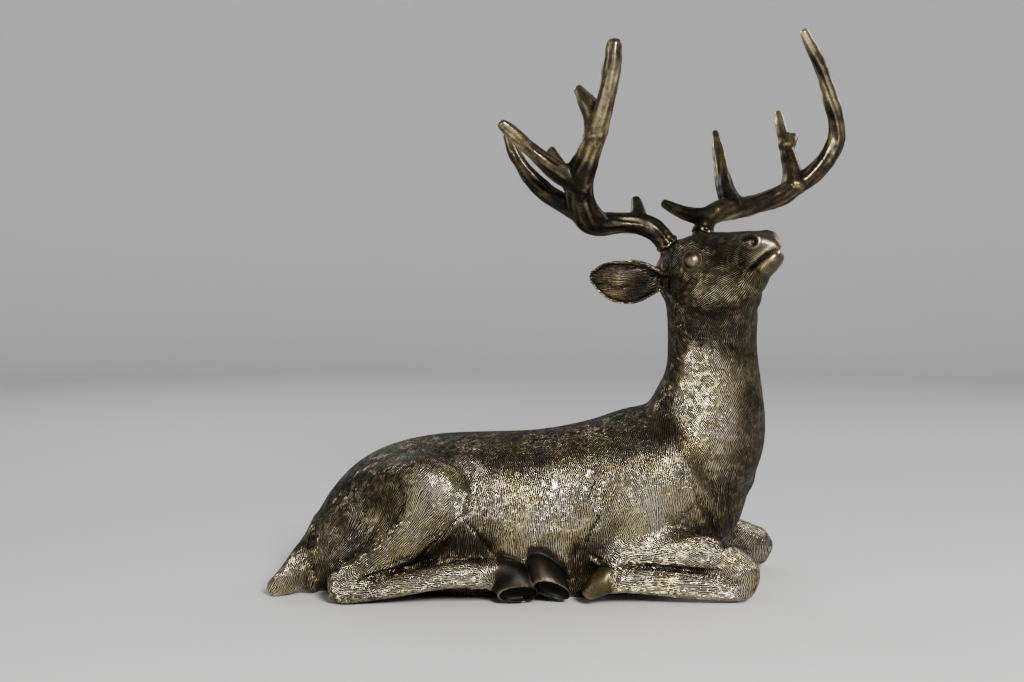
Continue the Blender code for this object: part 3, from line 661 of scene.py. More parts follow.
def sculpt(mesh, tree, centres, outs):
    co, ed = arrays(mesh)
    nor = normals(mesh)
    for points, width, depth, forward in CREASES:
        for path in both_sides(tree, points, forward):
            if len(path) > 1:
                carve(co, nor, path, width, depth, 0.2)
    for (px, py), radii, height in SWELLS:
        for p in both_sides(tree, [(px, py)]):
            if p:
                swell(co, nor, p[0], radii, height)
    # knees and fetlocks of the fore legs: folds on the flexed side
    for sign in (-1, 1):
        ahead = 0.0 if sign < 0 else FAR_FORE_FORWARD
        for x, z, w, d in ((206, 30, 2.2, 1.8), (197, 31, 2.0, 1.2)):
            carve(co, nor, [(x + ahead, sign * 92, z + 6), (x + ahead, sign * 90, z), (x + ahead, sign * 86, z - 7)], w, d)
        for x, w, d in ((101.0, 2.0, 1.5), (93.0, 1.8, 1.4)):
            carve(co, nor, [(x + ahead, sign * 84, 40), (x + ahead - 1, sign * 95, 27), (x + ahead - 3, sign * 90, 13)], w, d)
    face(co, nor, tree, centres, outs)
    ear_folds(co, nor, tree)
    return co, ed


def face(co, nor, tree, centres, outs):
    for centre, out in zip(centres, outs):
        # socket: hollow in front of the eye and behind it
        f2 = unit(HF - out * (HF @ out))
        swell(co, nor, centre + f2 * 15 - HU * 5, (7, 7, 5), -1.8)
        swell(co, nor, centre - f2 * 14 + HU * 1, (6, 6, 6), -1.2)
        rel = co - centre
        r = np.linalg.norm(rel, axis=1)
        inside = (r < 11.5) & (rel @ out > 4.2) & (r > 8.0)
        idx = np.where(inside & (np.linalg.norm(rel - (rel @ out)[:, None] * out, axis=1) < 7.6))[0]
        co[idx] = centre + rel[idx] / r[idx, None] * 8.6
        # folds of the lids: rings that fade away from the ball
        u2 = unit(HU - out * (HU @ out))
        x, y = rel @ f2, rel @ u2
        flat = np.hypot(x, y / 0.94)
        turn = np.degrees(np.arctan2(y, x))
        upper = np.clip((turn + 20) / 25, 0, 1) * np.clip((200 - np.where(turn < -90, turn + 360, turn)) / 25, 0, 1)
        lower = 0.55 * (1 - upper)
        wave = np.cos((flat - 10.1) * 2 * np.pi / 2.7) * np.clip((15.4 - flat) / 4.0, 0, 1) * np.clip((flat - 7.4) / 1.2, 0, 1)
        idx = np.where((flat < 15.4) & (flat > 7.4) & (rel @ out > -4) & (rel @ out < 14))[0]
        co[idx] += out * (wave[idx] * 0.85 * (upper[idx] + lower[idx] * (flat[idx] < 12.2)))[:, None]
    for side in both_head(tree, ((753.5, 242.0), (752.5, 238.0), (748.0, 236.5), (744.0, 238.0))):
        if len(side) > 1:
            carve(co, nor, side, 2.4, 4.6, 0.0)
    for side in both_head(tree, ((752.5, 241.0),)):
        if side:
            swell(co, nor, side[0], (3.4, 3.4, 3.0), -4.2)
    # wing of the nostril, and the pad of the nose
    for side in both_head(tree, ((744, 247), (752, 248), (758, 244), (758, 238), (753, 233.5))):
        if len(side) > 1:
            carve(co, nor, side, 1.8, -1.3, 0.25)
    for side in both_head(tree, ((756, 252), (763, 247), (769, 247), (776, 247))):
        if len(side) > 1:
            carve(co, nor, side, 2.2, 0.8, 0.2)
    for side in both_head(tree, ((680.5, 265.5), (681.0, 269.5), (682.0, 274.0))):
        if len(side) > 1:
            carve(co, nor, side, 1.3, -1.4, 0.3)
    for side in both_head(tree, ((668.5, 268.0), (667.5, 273.0), (667.0, 277.0))):
        if len(side) > 1:
            carve(co, nor, side, 1.3, -1.2, 0.3)
    # mouth, lips and chin
    for side in both_head(tree, ((780.0, 252.0), (775.5, 250.5), (769.5, 253.0), (762.0, 258.5), (755.0, 265.0), (748.0, 272.0))):
        if len(side) > 1:
            carve(co, nor, side, 2.1, 4.6, 0.10)
    for side in both_head(tree, ((778.0, 259.0), (771.0, 260.0), (764.0, 265.0), (757.0, 271.0))):
        if len(side) > 1:
            carve(co, nor, side, 3.4, -2.2, 0.3)
    for side in both_head(tree, ((747.5, 272.5),)):
        if side:
            swell(co, nor, side[0], (5.0, 5.0, 5.0), 1.6)
            swell(co, nor, side[0], (2.4, 2.4, 2.4), -3.6)
    for side in both_head(tree, ((744.0, 262.0), (737.0, 272.0), (738.0, 284.0))):
        if len(side) > 1:
            carve(co, nor, side, 5.0, 1.0, 0.3)
    # cheek and jaw, and the ridge from the eye to the nose
    for side in both_head(tree, ((672, 296), (684, 309), (702, 317), (722, 315), (742, 305), (757, 292))):
        if len(side) > 1:
            carve(co, nor, side, 5.5, 2.2, 0.2)
    for side in both_head(tree, ((706, 270), (722, 268), (738, 262))):
        if len(side) > 1:
            carve(co, nor, side, 4.5, -1.3, 0.3)
    for side in both_head(tree, ((700, 282), (716, 284), (732, 282))):
        if len(side) > 1:
            carve(co, nor, side, 5.0, 1.2, 0.3)
    for side in both_head(tree, ((668, 262), (666, 276), (668, 292))):
        if len(side) > 1:
            carve(co, nor, side, 3.6, 1.8, 0.2)


def ear_folds(co, nor, tree):
    for sign in (-1, 1):
        root = head_point(EAR_ROOT[0], -sign * EAR_ROOT[1], EAR_ROOT[2])
        tip = head_point(EAR_TIP[0], -sign * EAR_TIP[1], EAR_TIP[2])
        along, opening, across = ear_axes(sign)
        reach = np.linalg.norm(tip - root)
        rel = co - root
        t, h, d = rel @ along / reach, rel @ across, rel @ opening
        inner = (t > 0.08) & (t < 1.0) & (nor @ opening > 0.05) & (np.abs(h) < 24) & (np.abs(d) < 16)
        idx = np.where(inner)[0]
        if len(idx) == 0:
            continue
        t, h = t[idx], h[idx] + EAR_SAG * np.sin(np.pi * t[idx])
        full = EAR_HALF_HEIGHT
        step = -0.20 * full + 2.5 * np.sin(t * 19.0) * 0.5
        fold = 2.2 * np.exp(-((h - 0.26 * full) / (0.30 * full)) ** 2) * np.exp(-((t - 0.48) / 0.30) ** 2)
        fold -= 1.9 * np.exp(-((h - step) / 1.5) ** 2) * np.exp(-((t - 0.62) / 0.27) ** 4)
        fold += 1.7 * np.exp(-((h + 0.52 * full) / (0.22 * full)) ** 2) * np.exp(-((t - 0.62) / 0.32) ** 2)
        fold -= 1.5 * np.exp(-((h - 0.72 * full) / 1.7) ** 2) * np.exp(-((t - 0.55) / 0.36) ** 4)
        fold += 0.45 * np.sin(h * 2.1 + 3 * t) * np.exp(-((t - 0.5) / 0.42) ** 4)
        co[idx] += opening * fold[:, None]


# ================================================================ lie of the coat
# pairs of view points: from, to
LIE = (
    (672, 328, 688, 350), (692, 345, 710, 366), (676, 362, 690, 386), (700, 372, 718, 394), (726, 350, 738, 374),
    (742, 372, 750, 398), (688, 410, 704, 432), (712, 412, 728, 436), (736, 420, 746, 446), (752, 440, 753, 466),
    (668, 400, 676, 426), (694, 446, 706, 470), (720, 455, 728, 482), (740, 480, 738, 506), (722, 500, 722, 530),
    (705, 470, 711, 498), (650, 415, 632, 424), (664, 430, 660, 456), (640, 434, 630, 458), (676, 462, 679, 488),
    (690, 488, 692, 514), (660, 478, 656, 504), (634, 474, 624, 498), (612, 462, 602, 486), (664, 512, 662, 536),
    (636, 512, 626, 534), (612, 506, 604, 528), (606, 430, 584, 440), (580, 452, 571, 476), (556, 464, 551, 490),
    (530, 462, 523, 487), (506, 464, 498, 488), (582, 492, 579, 518), (552, 500, 549, 526), (522, 498, 518, 524),
    (494, 498, 490, 522), (572, 530, 571, 554), (544, 534, 542, 560), (514, 532, 512, 556), (488, 530, 487, 548),
    (560, 436, 536, 440), (512, 438, 490, 446), (466, 438, 444, 446), (424, 444, 404, 458), (388, 454, 370, 474),
    (452, 454, 438, 470), (432, 470, 416, 490), (454, 480, 438, 500), (462, 496, 448, 514), (434, 504, 418, 524),
    (412, 500, 404, 522), (438, 524, 420, 542), (408, 534, 392, 552), (398, 470, 386, 494), (378, 482, 368, 506),
    (352, 486, 340, 510), (388, 506, 378, 528), (364, 520, 352, 542), (338, 520, 326, 546), (326, 508, 316, 530),
    (352, 548, 338, 564), (384, 556, 362, 572), (350, 590, 376, 590), (392, 586, 420, 584), (440, 580, 470, 576),
    (312, 530, 304, 552), (300, 552, 288, 576), (312, 560, 306, 584), (286, 576, 274, 594), (455, 540, 453, 562),
    (618, 552, 646, 556), (650, 552, 678, 556), (684, 546, 710, 556), (722, 556, 744, 568), (748, 574, 750, 596),
    (738, 592, 708, 592), (700, 590, 668, 589), (660, 586, 634, 584),
    (740, 234, 722, 236), (716, 238, 696, 242), (738, 246, 722, 251), (732, 258, 716, 264), (728, 272, 710, 280),
    (714, 262, 702, 270), (700, 282, 688, 292), (682, 274, 674, 288), (720, 290, 704, 302), (744, 284, 732, 298),
    (764, 272, 760, 290), (754, 300, 748, 322), (726, 306, 714, 322), (696, 304, 684, 322), (672, 300, 670, 324),
    (764, 254, 756, 260), (650, 280, 622, 276), (625, 272, 605, 270), (625, 292, 606, 290),
)
LIE_SPACE = (
    # on the back and beneath: place, direction
    ((150, 0, 178), (-1, 0, 0.1)), ((90, 0, 168), (-1, 0, -0.1)), ((30, 0, 158), (-1, 0, 0)), ((-40, 0, 154), (-1, 0, 0)),
    ((-100, 0, 148), (-1, 0, -0.2)), ((-150, 0, 124), (-1, 0, -0.7)), ((-185, 0, 90), (-0.6, 0, -1)), ((-205, 0, 45), (-0.3, -0.1, -1)),
    ((150, 2, 230), (-0.1, 0, -1)), ((155, 5, 280), (-0.1, 0.1, -1)), ((150, 10, 320), (-0.4, 0.3, -1)),
    ((236, 0, 120), (0, 0, -1)), ((243, 0, 170), (0, 0, -1)), ((244, -6, 220), (0.05, 0, -1)),
    ((100, 0, 0), (-1, 0, 0)), ((-50, 0, 0), (-1, 0, 0)), ((-228, -46, 10), (-0.6, -0.3, -0.7)),
)


def lie_of_coat(tree):
    where, way = [], []
    for a, b, c, d in LIE:
        p, q = at(tree, a, b), at(tree, c, d)
        if p is None or q is None or np.linalg.norm(q - p) > 55:
            continue
        centre, v = (p + q) / 2, unit(q - p)
        where.append(centre)
        way.append(v)
        if centre[2] > 296 and centre[0] > 100:
            far = flip_head(centre)
            v2 = v - 2 * (v @ HL) * HL
        else:
            far = centre * (1, -1, 1)
            v2 = v * (1, -1, 1)
            if centre[2] < 60 and centre[0] > 84:
                far = far + (FAR_FORE_FORWARD, 0, 0)
            if centre[0] < -190:
                continue
        where.append(np.array(tree.find_nearest(Vector(far))[0]))
        way.append(v2)
    for p, v in LIE_SPACE:
        where.append(np.array(p, float))
        way.append(unit(v))
    return np.array(where), np.array(way)


def spread(co, where, values, near=9.0):
    """Each point takes its neighbours' values, the nearest counting most."""
    out = np.zeros((len(co), values.shape[1]))
    for start in range(0, len(co), 40000):
        part = co[start:start + 40000]
        d2 = ((part[:, None, :] - where[None, :, :]) ** 2).sum(2)
        w = 1.0 / (d2 + near ** 2) ** 2
        out[start:start + 40000] = (w @ values) / w.sum(1, keepdims=True)
    return out


def tangent(flow, nor):
    flow = flow - (flow * nor).sum(1, keepdims=True) * nor
    return flow / np.maximum(np.linalg.norm(flow, axis=1, keepdims=True), 1e-6)


def strokes(co, nor, flow, length, width, density, rng, reach=7.5):
    """Height of overlapping tapered locks, each laid along the coat."""
    n = len(co)
    tree = KDTree(n)
    for i, p in enumerate(co):
        tree.insert(p, i)
    tree.balance()
    pick = np.where(rng.random(n) < density)[0]
    pick = pick[length[pick] > 1.0]
    idx, counts = [], []
    for s in pick:
        got = [j for _, j, _ in tree.find_range(co[s], min(reach, 0.62 * length[s] + 0.6))]
        idx.extend(got)
        counts.append(len(got))
    idx = np.array(idx, np.int64)
    which = np.repeat(np.arange(len(pick)), counts)
    s = pick[which]
    rel = co[idx] - co[s]
    side = np.cross(nor[s], flow[s])
    grow = rng.uniform(0.75, 1.2, len(pick))[which]
    bend = rng.normal(0.0, 0.022, len(pick))[which]
    turn = rng.normal(0.0, 0.16, len(pick))[which]
    a0, b0 = (rel * flow[s]).sum(1), (rel * side).sum(1)
    along = a0 * np.cos(turn) + b0 * np.sin(turn)
    across = b0 * np.cos(turn) - a0 * np.sin(turn) - bend * a0 * a0
    t = along / (length[s] * grow) + 0.5
    inside = (t > 0.0) & (t < 1.0) & ((nor[idx] * nor[s]).sum(1) > 0.3)
    t = np.clip(t, 0, 1)
    w = width[s] * (0.25 + 0.75 * np.sin(np.pi * t ** 0.75)) * (1 - 0.75 * np.clip(t - 0.7, 0, 1) / 0.3)
    v = np.where(inside, 1 - (across / np.maximum(w, 0.2)) ** 2, -1)
    v = np.clip(v, 0, 1) ** 0.8 * (0.30 + 0.70 * t) * rng.uniform(0.7, 1.1, len(pick))[which]
    lift = np.zeros(n)
    np.maximum.at(lift, idx, v)
    return lift


# ================================================================ finished meshes
def put_attribute(mesh, name, values):
    values = np.asarray(values, np.float32)
    kind = "FLOAT" if values.ndim == 1 else "FLOAT_VECTOR"
    layer = mesh.attributes.new(name, kind, "POINT")
    layer.data.foreach_set("value" if values.ndim == 1 else "vector", values.ravel())


def take(source, values, co):
    """Values of the nearest source point."""
    tree = KDTree(len(source))
    for i, p in enumerate(source):
        tree.insert(p, i)
    tree.balance()
    near = np.array([tree.find(p)[1] for p in co])
    return values[near]


def decimated(mesh, target):
    mesh.calc_loop_triangles()
    ratio = min(1.0, target / max(len(mesh.loop_triangles), 1))

    def build(obj):
        m = obj.modifiers.new("Fewer", "DECIMATE")
        m.ratio = ratio
        m.use_collapse_triangulate = True
    return through(mesh, build)


def to_part(mesh):
    """Millimetres of the working frame to metres of the part's frame."""
    co, _ = arrays(mesh)
    store(mesh, (co + SHIFT) * MM)
    mesh.shade_smooth()


def placed(name, mesh, material, node):
    mesh.name = name
    obj = bpy.data.objects.new(name, mesh)
    bpy.context.scene.collection.objects.link(obj)
    mesh.materials.clear()
    mesh.materials.append(material)
    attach(obj, "root")
    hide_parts(node)
    return obj


def occlusion(tree, co, nor, reach=45.0, rays=18):
    """How much of the space over each point is open, from 0 to 1."""
    i = np.arange(rays) + 0.5
    z = 1 - i / rays * 0.92
    a = i * 2.399963
    r = np.sqrt(1 - z * z)
    local = np.stack([r * np.cos(a), r * np.sin(a), z], 1)
    helper = np.where(np.abs(nor[:, :1]) < 0.8, np.array([[1.0, 0, 0]]), np.array([[0, 1.0, 0]]))
    u = np.cross(nor, helper)
    u /= np.linalg.norm(u, axis=1, keepdims=True)
    v = np.cross(nor, u)
    open_part = np.zeros(len(co))
    start = co + nor * 1.2
    total = z.sum()
    for k in range(rays):
        d = local[k, 0] * u + local[k, 1] * v + local[k, 2] * nor
        for j in range(len(co)):
            hit = tree.ray_cast(start[j], d[j], reach)[3]
            if hit is None:
                open_part[j] += z[k]
            elif hit > 3:
                open_part[j] += z[k] * (hit / reach) ** 0.7
    return open_part / total


def blobs(co, tree, places, both=True):
    """Sum of soft spots laid on both sides: view x, view y, radius, amount."""
    out = np.zeros(len(co))
    for px, py, radius, amount in places:
        p = at(tree, px, py)
        if p is None:
            continue
        spots = [p]
        if both:
            if p[2] > 296 and p[0] > 100:
                spots.append(flip_head(p))
            else:
                far = p * (1, -1, 1)
                if p[2] < 60 and p[0] > 84:
                    far = far + (FAR_FORE_FORWARD, 0, 0)
                spots.append(far)
        for q in spots:
            out += amount * np.exp(-((co - q) ** 2).sum(1) / (2 * radius ** 2))
    return out


# places rubbed bright, partly painted highlights on the lit bands, and places left dark, partly painted shade on the
# sides turned from the light, under the jaw and between the legs
RUBBED_AND_HIGHLIT = (
    (705, 365, 16, 0.8), (700, 395, 18, 0.9), (706, 425, 18, 0.8), (716, 450, 14, 0.5), (724, 380, 14, 0.5),
    (460, 468, 12, 0.8), (440, 492, 18, 0.8), (420, 515, 16, 0.7), (452, 480, 16, 0.5), (398, 548, 14, 0.5),
    (689, 502, 11, 0.9), (675, 480, 22, 0.4), (655, 505, 22, 0.55), (640, 525, 18, 0.45), (620, 490, 26, 0.3),
    (525, 515, 14, 0.45), (568, 478, 10, 0.4), (572, 520, 12, 0.4), (640, 515, 14, 0.35), (442, 492, 14, 0.45), (705, 400, 14, 0.3), (530, 520, 36, 0.55), (500, 490, 26, 0.35), (560, 545, 26, 0.35), (570, 480, 26, 0.2), (590, 450, 20, 0.15),
    (640, 552, 14, 0.6), (680, 552, 14, 0.9), (715, 556, 12, 0.7), (745, 576, 10, 0.6), (735, 594, 12, 0.7),
    (700, 588, 14, 1.1), (660, 584, 14, 1.0), (625, 582, 12, 1.1),
    (430, 578, 14, 1.3), (460, 575, 14, 1.2), (395, 586, 12, 1.2), (735, 580, 12, 0.5), (345, 588, 12, 0.7), (505, 580, 14, 0.5), (550, 572, 14, 0.6),
    (380, 518, 10, 0.5), (360, 520, 10, 0.4), (335, 540, 14, 0.3), (290, 575, 10, 0.4), (275, 592, 8, 0.6), (300, 588, 10, 0.3),
    (692, 261, 9, 1.6), (768, 263, 8, 1.5), (768, 240, 10, 1.1), (750, 250, 9, 0.5), (720, 296, 14, 0.55), (700, 293, 9, 0.6), (735, 292, 9, 0.4),
    (645, 270, 9, 0.5), (620, 274, 12, 0.9), (600, 290, 8, 0.9), (616, 294, 8, 0.8), (755, 533, 14, 0.5), (762, 555, 10, 0.4), (690, 505, 9, 0.5),
)
DARK_PATINA_AND_SHADE = (
    (420, 446, 22, 0.45), (480, 440, 26, 0.45), (540, 436, 26, 0.45), (600, 426, 26, 0.5), (640, 412, 18, 0.5),
    (360, 480, 22, 0.5), (330, 510, 16, 0.35), (668, 370, 14, 0.7), (664, 410, 14, 0.6), (672, 330, 12, 0.5),
    (712, 330, 20, 0.9), (740, 325, 14, 0.9), (690, 316, 10, 0.4), (752, 480, 16, 0.8), (735, 500, 14, 0.7), (760, 440, 12, 0.5),
    (722, 535, 12, 0.8), (500, 468, 18, 0.4), (535, 460, 18, 0.25), (595, 475, 12, 0.3), (548, 545, 9, 0.3), (492, 540, 12, 0.35),
    (370, 500, 16, 0.3), (345, 530, 12, 0.2), (612, 440, 16, 0.3), (672, 500, 9, 0.2), (395, 500, 9, 0.3), (720, 240, 16, 0.4), (750, 350, 12, 0.5), (752, 400, 12, 0.4), (664, 440, 12, 0.3), (640, 300, 14, 0.4), (672, 285, 10, 0.5), (590, 540, 12, 0.6), (582, 562, 12, 0.8),
    (475, 545, 12, 0.6), (450, 545, 10, 0.4), (300, 545, 12, 0.3), (400, 470, 16, 0.2),
)


# thin edges painted bright, partly rubbed and partly painted highlights along lit ridges: points of the view, half
# width, amount
WORN_AND_HIGHLIT_EDGES = (
    (((590, 557), (598, 564), (616, 571.5), (629, 570.5), (651, 571.5), (680, 573.5), (710, 576)), 1.1, 1.1),
    (((681, 266), (681.5, 273)), 1.2, 0.9), (((471, 459), (473, 476)), 2.0, 0.4),
)
# where the coat gathers in tufts
SHAGGY = (
    (530, 530, 30, 0.8), (490, 530, 24, 0.8), (560, 500, 30, 0.5), (600, 520, 20, 0.7), (720, 510, 22, 0.9), (370, 520, 24, 0.7),
    (330, 540, 22, 0.8), (295, 570, 26, 0.9), (660, 510, 22, 0.5), (430, 520, 22, 0.4), (460, 545, 18, 0.9),
)


def coat_length(co, tree, centres):
    """Length of the locks: none on the eyes, nose, lips, hooves and inside the ears."""
    size = np.full(len(co), 11.0)
    leg = (co[:, 2] < 46) & (np.abs(co[:, 1]) > 52)
    size = np.where(leg, 8.0, size)
    size = np.where((co[:, 0] < -196), 14.0, size)
    size = np.where((co[:, 0] > 205) & (co[:, 2] < 180) & (co[:, 2] > 40) & (np.abs(co[:, 1]) < 40), 12.0, size)
    rel = co - HO
    f, l, u = rel @ HF, rel @ HL, rel @ HU
    inhead = (f > -40) & (u > -84) & (co[:, 2] > 262)
    size = np.where(inhead, np.clip(4.8 + (20 - f) * 0.02, 4.2, 6.0), size)
    muzzle = (f > 66) & (u > -80) & (co[:, 2] > 262)
    size = np.where(muzzle, np.clip(4.5 - (f - 66) * 0.12, 0.0, 4.5), size)
    for centre in centres:
        r = np.linalg.norm(co - centre, axis=1)
        size = np.where(r < 13.0, 0.0, np.where(r < 16.0, np.minimum(size, 3.4), size))
    for rows, first in ((HOOF_A, 1), (HOOF_B, 0), (FORE_HOOF, 0), (mirrored(FORE_HOOF, FAR_FORE_FORWARD), 0)):
        rows = np.array(rows)[first:]
        axis = unit(rows[1, :3] - rows[0, :3])
        begin = rows[0, :3] + axis * 6
        path = [begin] + [r[:3] for r in rows[1:]] + [rows[-1, :3] + unit(rows[-1, :3] - rows[-2, :3]) * 6]
        d, _ = path_distance(co, path)
        size = np.where((d < rows[:, 3].max() + 1.5) & ((co - begin) @ axis > -1.0), 0.0, size)
    for sign in (-1, 1):
        root = head_point(EAR_ROOT[0], -sign * EAR_ROOT[1], EAR_ROOT[2])
        tip = head_point(EAR_TIP[0], -sign * EAR_TIP[1], EAR_TIP[2])
        axis = unit(tip - root)
        d, t = path_distance(co, [root + axis * 10, tip + axis * 3])
        size = np.where((d < 24) & ((co - root) @ axis > 8), 2.8, size)
    return size


def hoof_wear_and_highlight(co, wear_and_painted_light, size):
    """Dark horn with a bright edge round the upper rim of the sole, partly rubbed and partly a painted highlight; the
    fore hooves are worn bright.
    """
    for rows, plane, sole in ((HOOF_A, (1.0, 0.0, 0.0), SOLE_A), (HOOF_B, (0.85, 0.0, -0.53), SOLE_B)):
        rows = np.array(rows)
        d, _ = path_distance(co, [r[:3] for r in rows] + [rows[-1, :3] + unit(sole) * 8])
        bare = (d < 22) & (size < 1)
        wear_and_painted_light = np.where(bare, 0.12, wear_and_painted_light)
        n = unit(sole)
        side = unit(np.asarray(plane, float) - n * np.dot(plane, n))
        up = np.cross(n, side)
        rel = co - rows[-1, :3]
        out = (np.abs(rel @ side / rows[-1, 3]) ** 2.15 + np.abs(rel @ up / rows[-1, 4]) ** 2.15) ** (1 / 2.15)
        depth = rel @ n
        wear_and_painted_light = np.where(bare & (out < 0.93) & (depth < 0.6) & (depth > -12), -0.2, wear_and_painted_light)
        # painted highlight with the rubbing on the upper rim of the sole
        rim = np.exp(-((out - 0.99) / 0.075) ** 2) * np.exp(-((depth + 0.2) / 1.5) ** 2) * (rel[:, 2] > -7)
        wear_and_painted_light = wear_and_painted_light + 1.9 * rim
    for rows in (FORE_HOOF, mirrored(FORE_HOOF, FAR_FORE_FORWARD)):
        rows = np.array(rows)
        d, _ = path_distance(co, [r[:3] for r in rows])
        wear_and_painted_light = np.where((d < 18) & (size < 1), 1.15, wear_and_painted_light)
    return wear_and_painted_light


def build_body(material):
    coarse = coarse_body()
    coarse_tree = tree_of(coarse)
    mesh, centres, outs = join_parts(coarse.copy(), coarse_tree)
    co, ed = arrays(mesh)
    co = relax(co, ed, 2, 0.5)
    store(mesh, co)
    tree = tree_of(mesh)
    co, ed = sculpt(mesh, tree, centres, outs)
    store(mesh, co)
    co = relax(co, ed, 1, 0.4)
    cut_flat(co, SEAM_RIGHT)
    cut_flat(co, SEAM_LEFT)
    nor = normals(mesh, co)
    # openness of the space over the coarse form, which the coat colour takes as painted shade, and hollows of the
    # sculpted form
    ccoarse, ced = arrays(coarse)
    open_coarse = occlusion(coarse_tree, ccoarse, normals(coarse), rays=12)
    open_coarse = relax(open_coarse, ced, 3)
    painted_shade_openness = take(ccoarse, open_coarse, co)
    painted_shade_openness = relax(painted_shade_openness, ed, 4)
    smooth = relax(co, ed, 14, 0.6)
    bulge = ((co - smooth) * nor).sum(1)
    # coat
    where, way = lie_of_coat(tree)
    flow = tangent(relax(spread(co, where, way), ed, 8), nor)
    size = coat_length(co, tree, centres)
    soft = relax(np.minimum(size, 6.0) / 6.0, ed, 3)
    broad = relax(nor, ed, 5)
    broad /= np.linalg.norm(broad, axis=1, keepdims=True)
    width = np.where(size > 9, 2.1, np.where(size > 6, 1.7, 1.3))
    rng = np.random.default_rng(5)
    lift = strokes(co, broad, flow, size, width, BODY_VOXEL ** 2 / 10.5, rng)
    height = np.where(size > 9, 0.62, np.where(size > 6, 0.55, 0.42)) * soft
    height = relax(height, ed, 4)
    # larger tufts on the flank, chest, haunch and tail
    shaggy = np.clip(blobs(co, tree, SHAGGY), 0, 1.2) * (size > 7.5)
    tufts = strokes(co, broad, flow, np.where(size > 7.5, 19.0, 0.0), np.full(len(co), 3.6), BODY_VOXEL ** 2 / 60.0, rng, 11.0)
    tufts = relax(tufts, ed, 1)
    co = co + broad * ((lift - 0.42) * height + (tufts - 0.4) * 0.95 * relax(shaggy, ed, 5))[:, None]
    base = co[:, 2] < 0.6
    co[:, 2] = np.maximum(co[:, 2], 0.0)
    cut_flat(co, SEAM_RIGHT)
    cut_flat(co, SEAM_LEFT)
    store(mesh, co)
    # rubbing and patina, with painted highlights and painted shade laid in from the spot tables above
    wear_and_painted_light = 0.32 + blobs(co, tree, RUBBED_AND_HIGHLIT) - blobs(co, tree, DARK_PATINA_AND_SHADE)
    # painted shade: surfaces that face up are darker; everything above 268 mm is darker as well
    top = np.clip((nor[:, 2] - 0.35) / 0.5, 0, 1) * (co[:, 2] > 100)
    wear_and_painted_light = wear_and_painted_light - 0.28 * top - 0.16 * (co[:, 2] > 268) * np.clip((co[:, 2] - 268) / 14, 0, 1)
    for points, half, amount in WORN_AND_HIGHLIT_EDGES:
        for path in both_head(tree, points) if points[0][1] < 330 else both_sides(tree, points):
            if len(path) > 1:
                d, _ = path_distance(co, path)
                wear_and_painted_light = wear_and_painted_light + amount * np.exp(-(d / half) ** 2)
    wear_and_painted_light = hoof_wear_and_highlight(co, wear_and_painted_light, size)
    put_attribute(mesh, "lift", np.clip(0.7 * lift + 0.45 * tufts * shaggy, 0, 1.2) * np.clip(soft, 0, 1))
    put_attribute(mesh, "wear_and_painted_light", 1.15 * (1 - np.exp(-1.1 * np.maximum(wear_and_painted_light, 0))))
    put_attribute(mesh, "painted_shade_openness", painted_shade_openness)
    put_attribute(mesh, "bulge", np.clip(bulge / 1.6, -1, 1))
    put_attribute(mesh, "coat", np.clip(soft, 0, 1))
    put_attribute(mesh, "lie", flow)
    put_attribute(mesh, "fine", np.clip((size - 4) / 8, 0, 1))
    out = decimated(mesh, BODY_TRIANGLES)
    bpy.data.meshes.remove(coarse)
    to_part(out)
    return placed("deer_body_bronze", out, material, "deer_body")


BODY_TRIANGLES = 195000


# ================================================================ antlers
def rough_tube(bm, rows, rng, count, sides=44, ridges=0.075, knobs=0.0):
    """A round bar whose grooves run along it and wander a little."""
    rows = smooth_rows(rows, count)
    tangents = np.gradient(rows[:, :3], axis=0)
    side = None
    rings = []
    length = np.concatenate([[0], np.cumsum(np.linalg.norm(np.diff(rows[:, :3], axis=0), axis=1))])
    waves = [(k, rng.uniform(0, 6.28), rng.uniform(-0.02, 0.02), rng.uniform(0.4, 1.0) / k ** 0.35) for k in (3, 5, 7, 9, 12)]
    slow = [(rng.uniform(0.05, 0.16), rng.uniform(0, 6.28), rng.uniform(0.4, 1.0)) for _ in range(3)]
    for row, t, run in zip(rows, tangents, length):
        t = unit(t)
        if side is None:
            side = unit(np.cross(t, (0.3, 1.0, 0.2)))
        side = unit(side - t * (side @ t))
        up = np.cross(t, side)
        a = 2 * np.pi * np.arange(sides) / sides
        m = sum(w * np.sin(k * a + p + run * s * k) for k, p, s, w in waves)
        m = m + 0.7 * sum(w * math.sin(run * f + p) for f, p, w in slow)
        if knobs:
            near = math.exp(-(run / 22.0) ** 2)
            m = m + knobs * near * (np.sin(6 * a + run * 1.1) * np.sin(run * 0.9 + 1.0) + 0.6 * np.sin(9 * a + run * 0.7))
        r = row[3] * (1 + ridges * m)
        rings.append(row[:3] + (r * np.cos(a))[:, None] * side + (r * np.sin(a))[:, None] * up)
    loft(bm, rings)


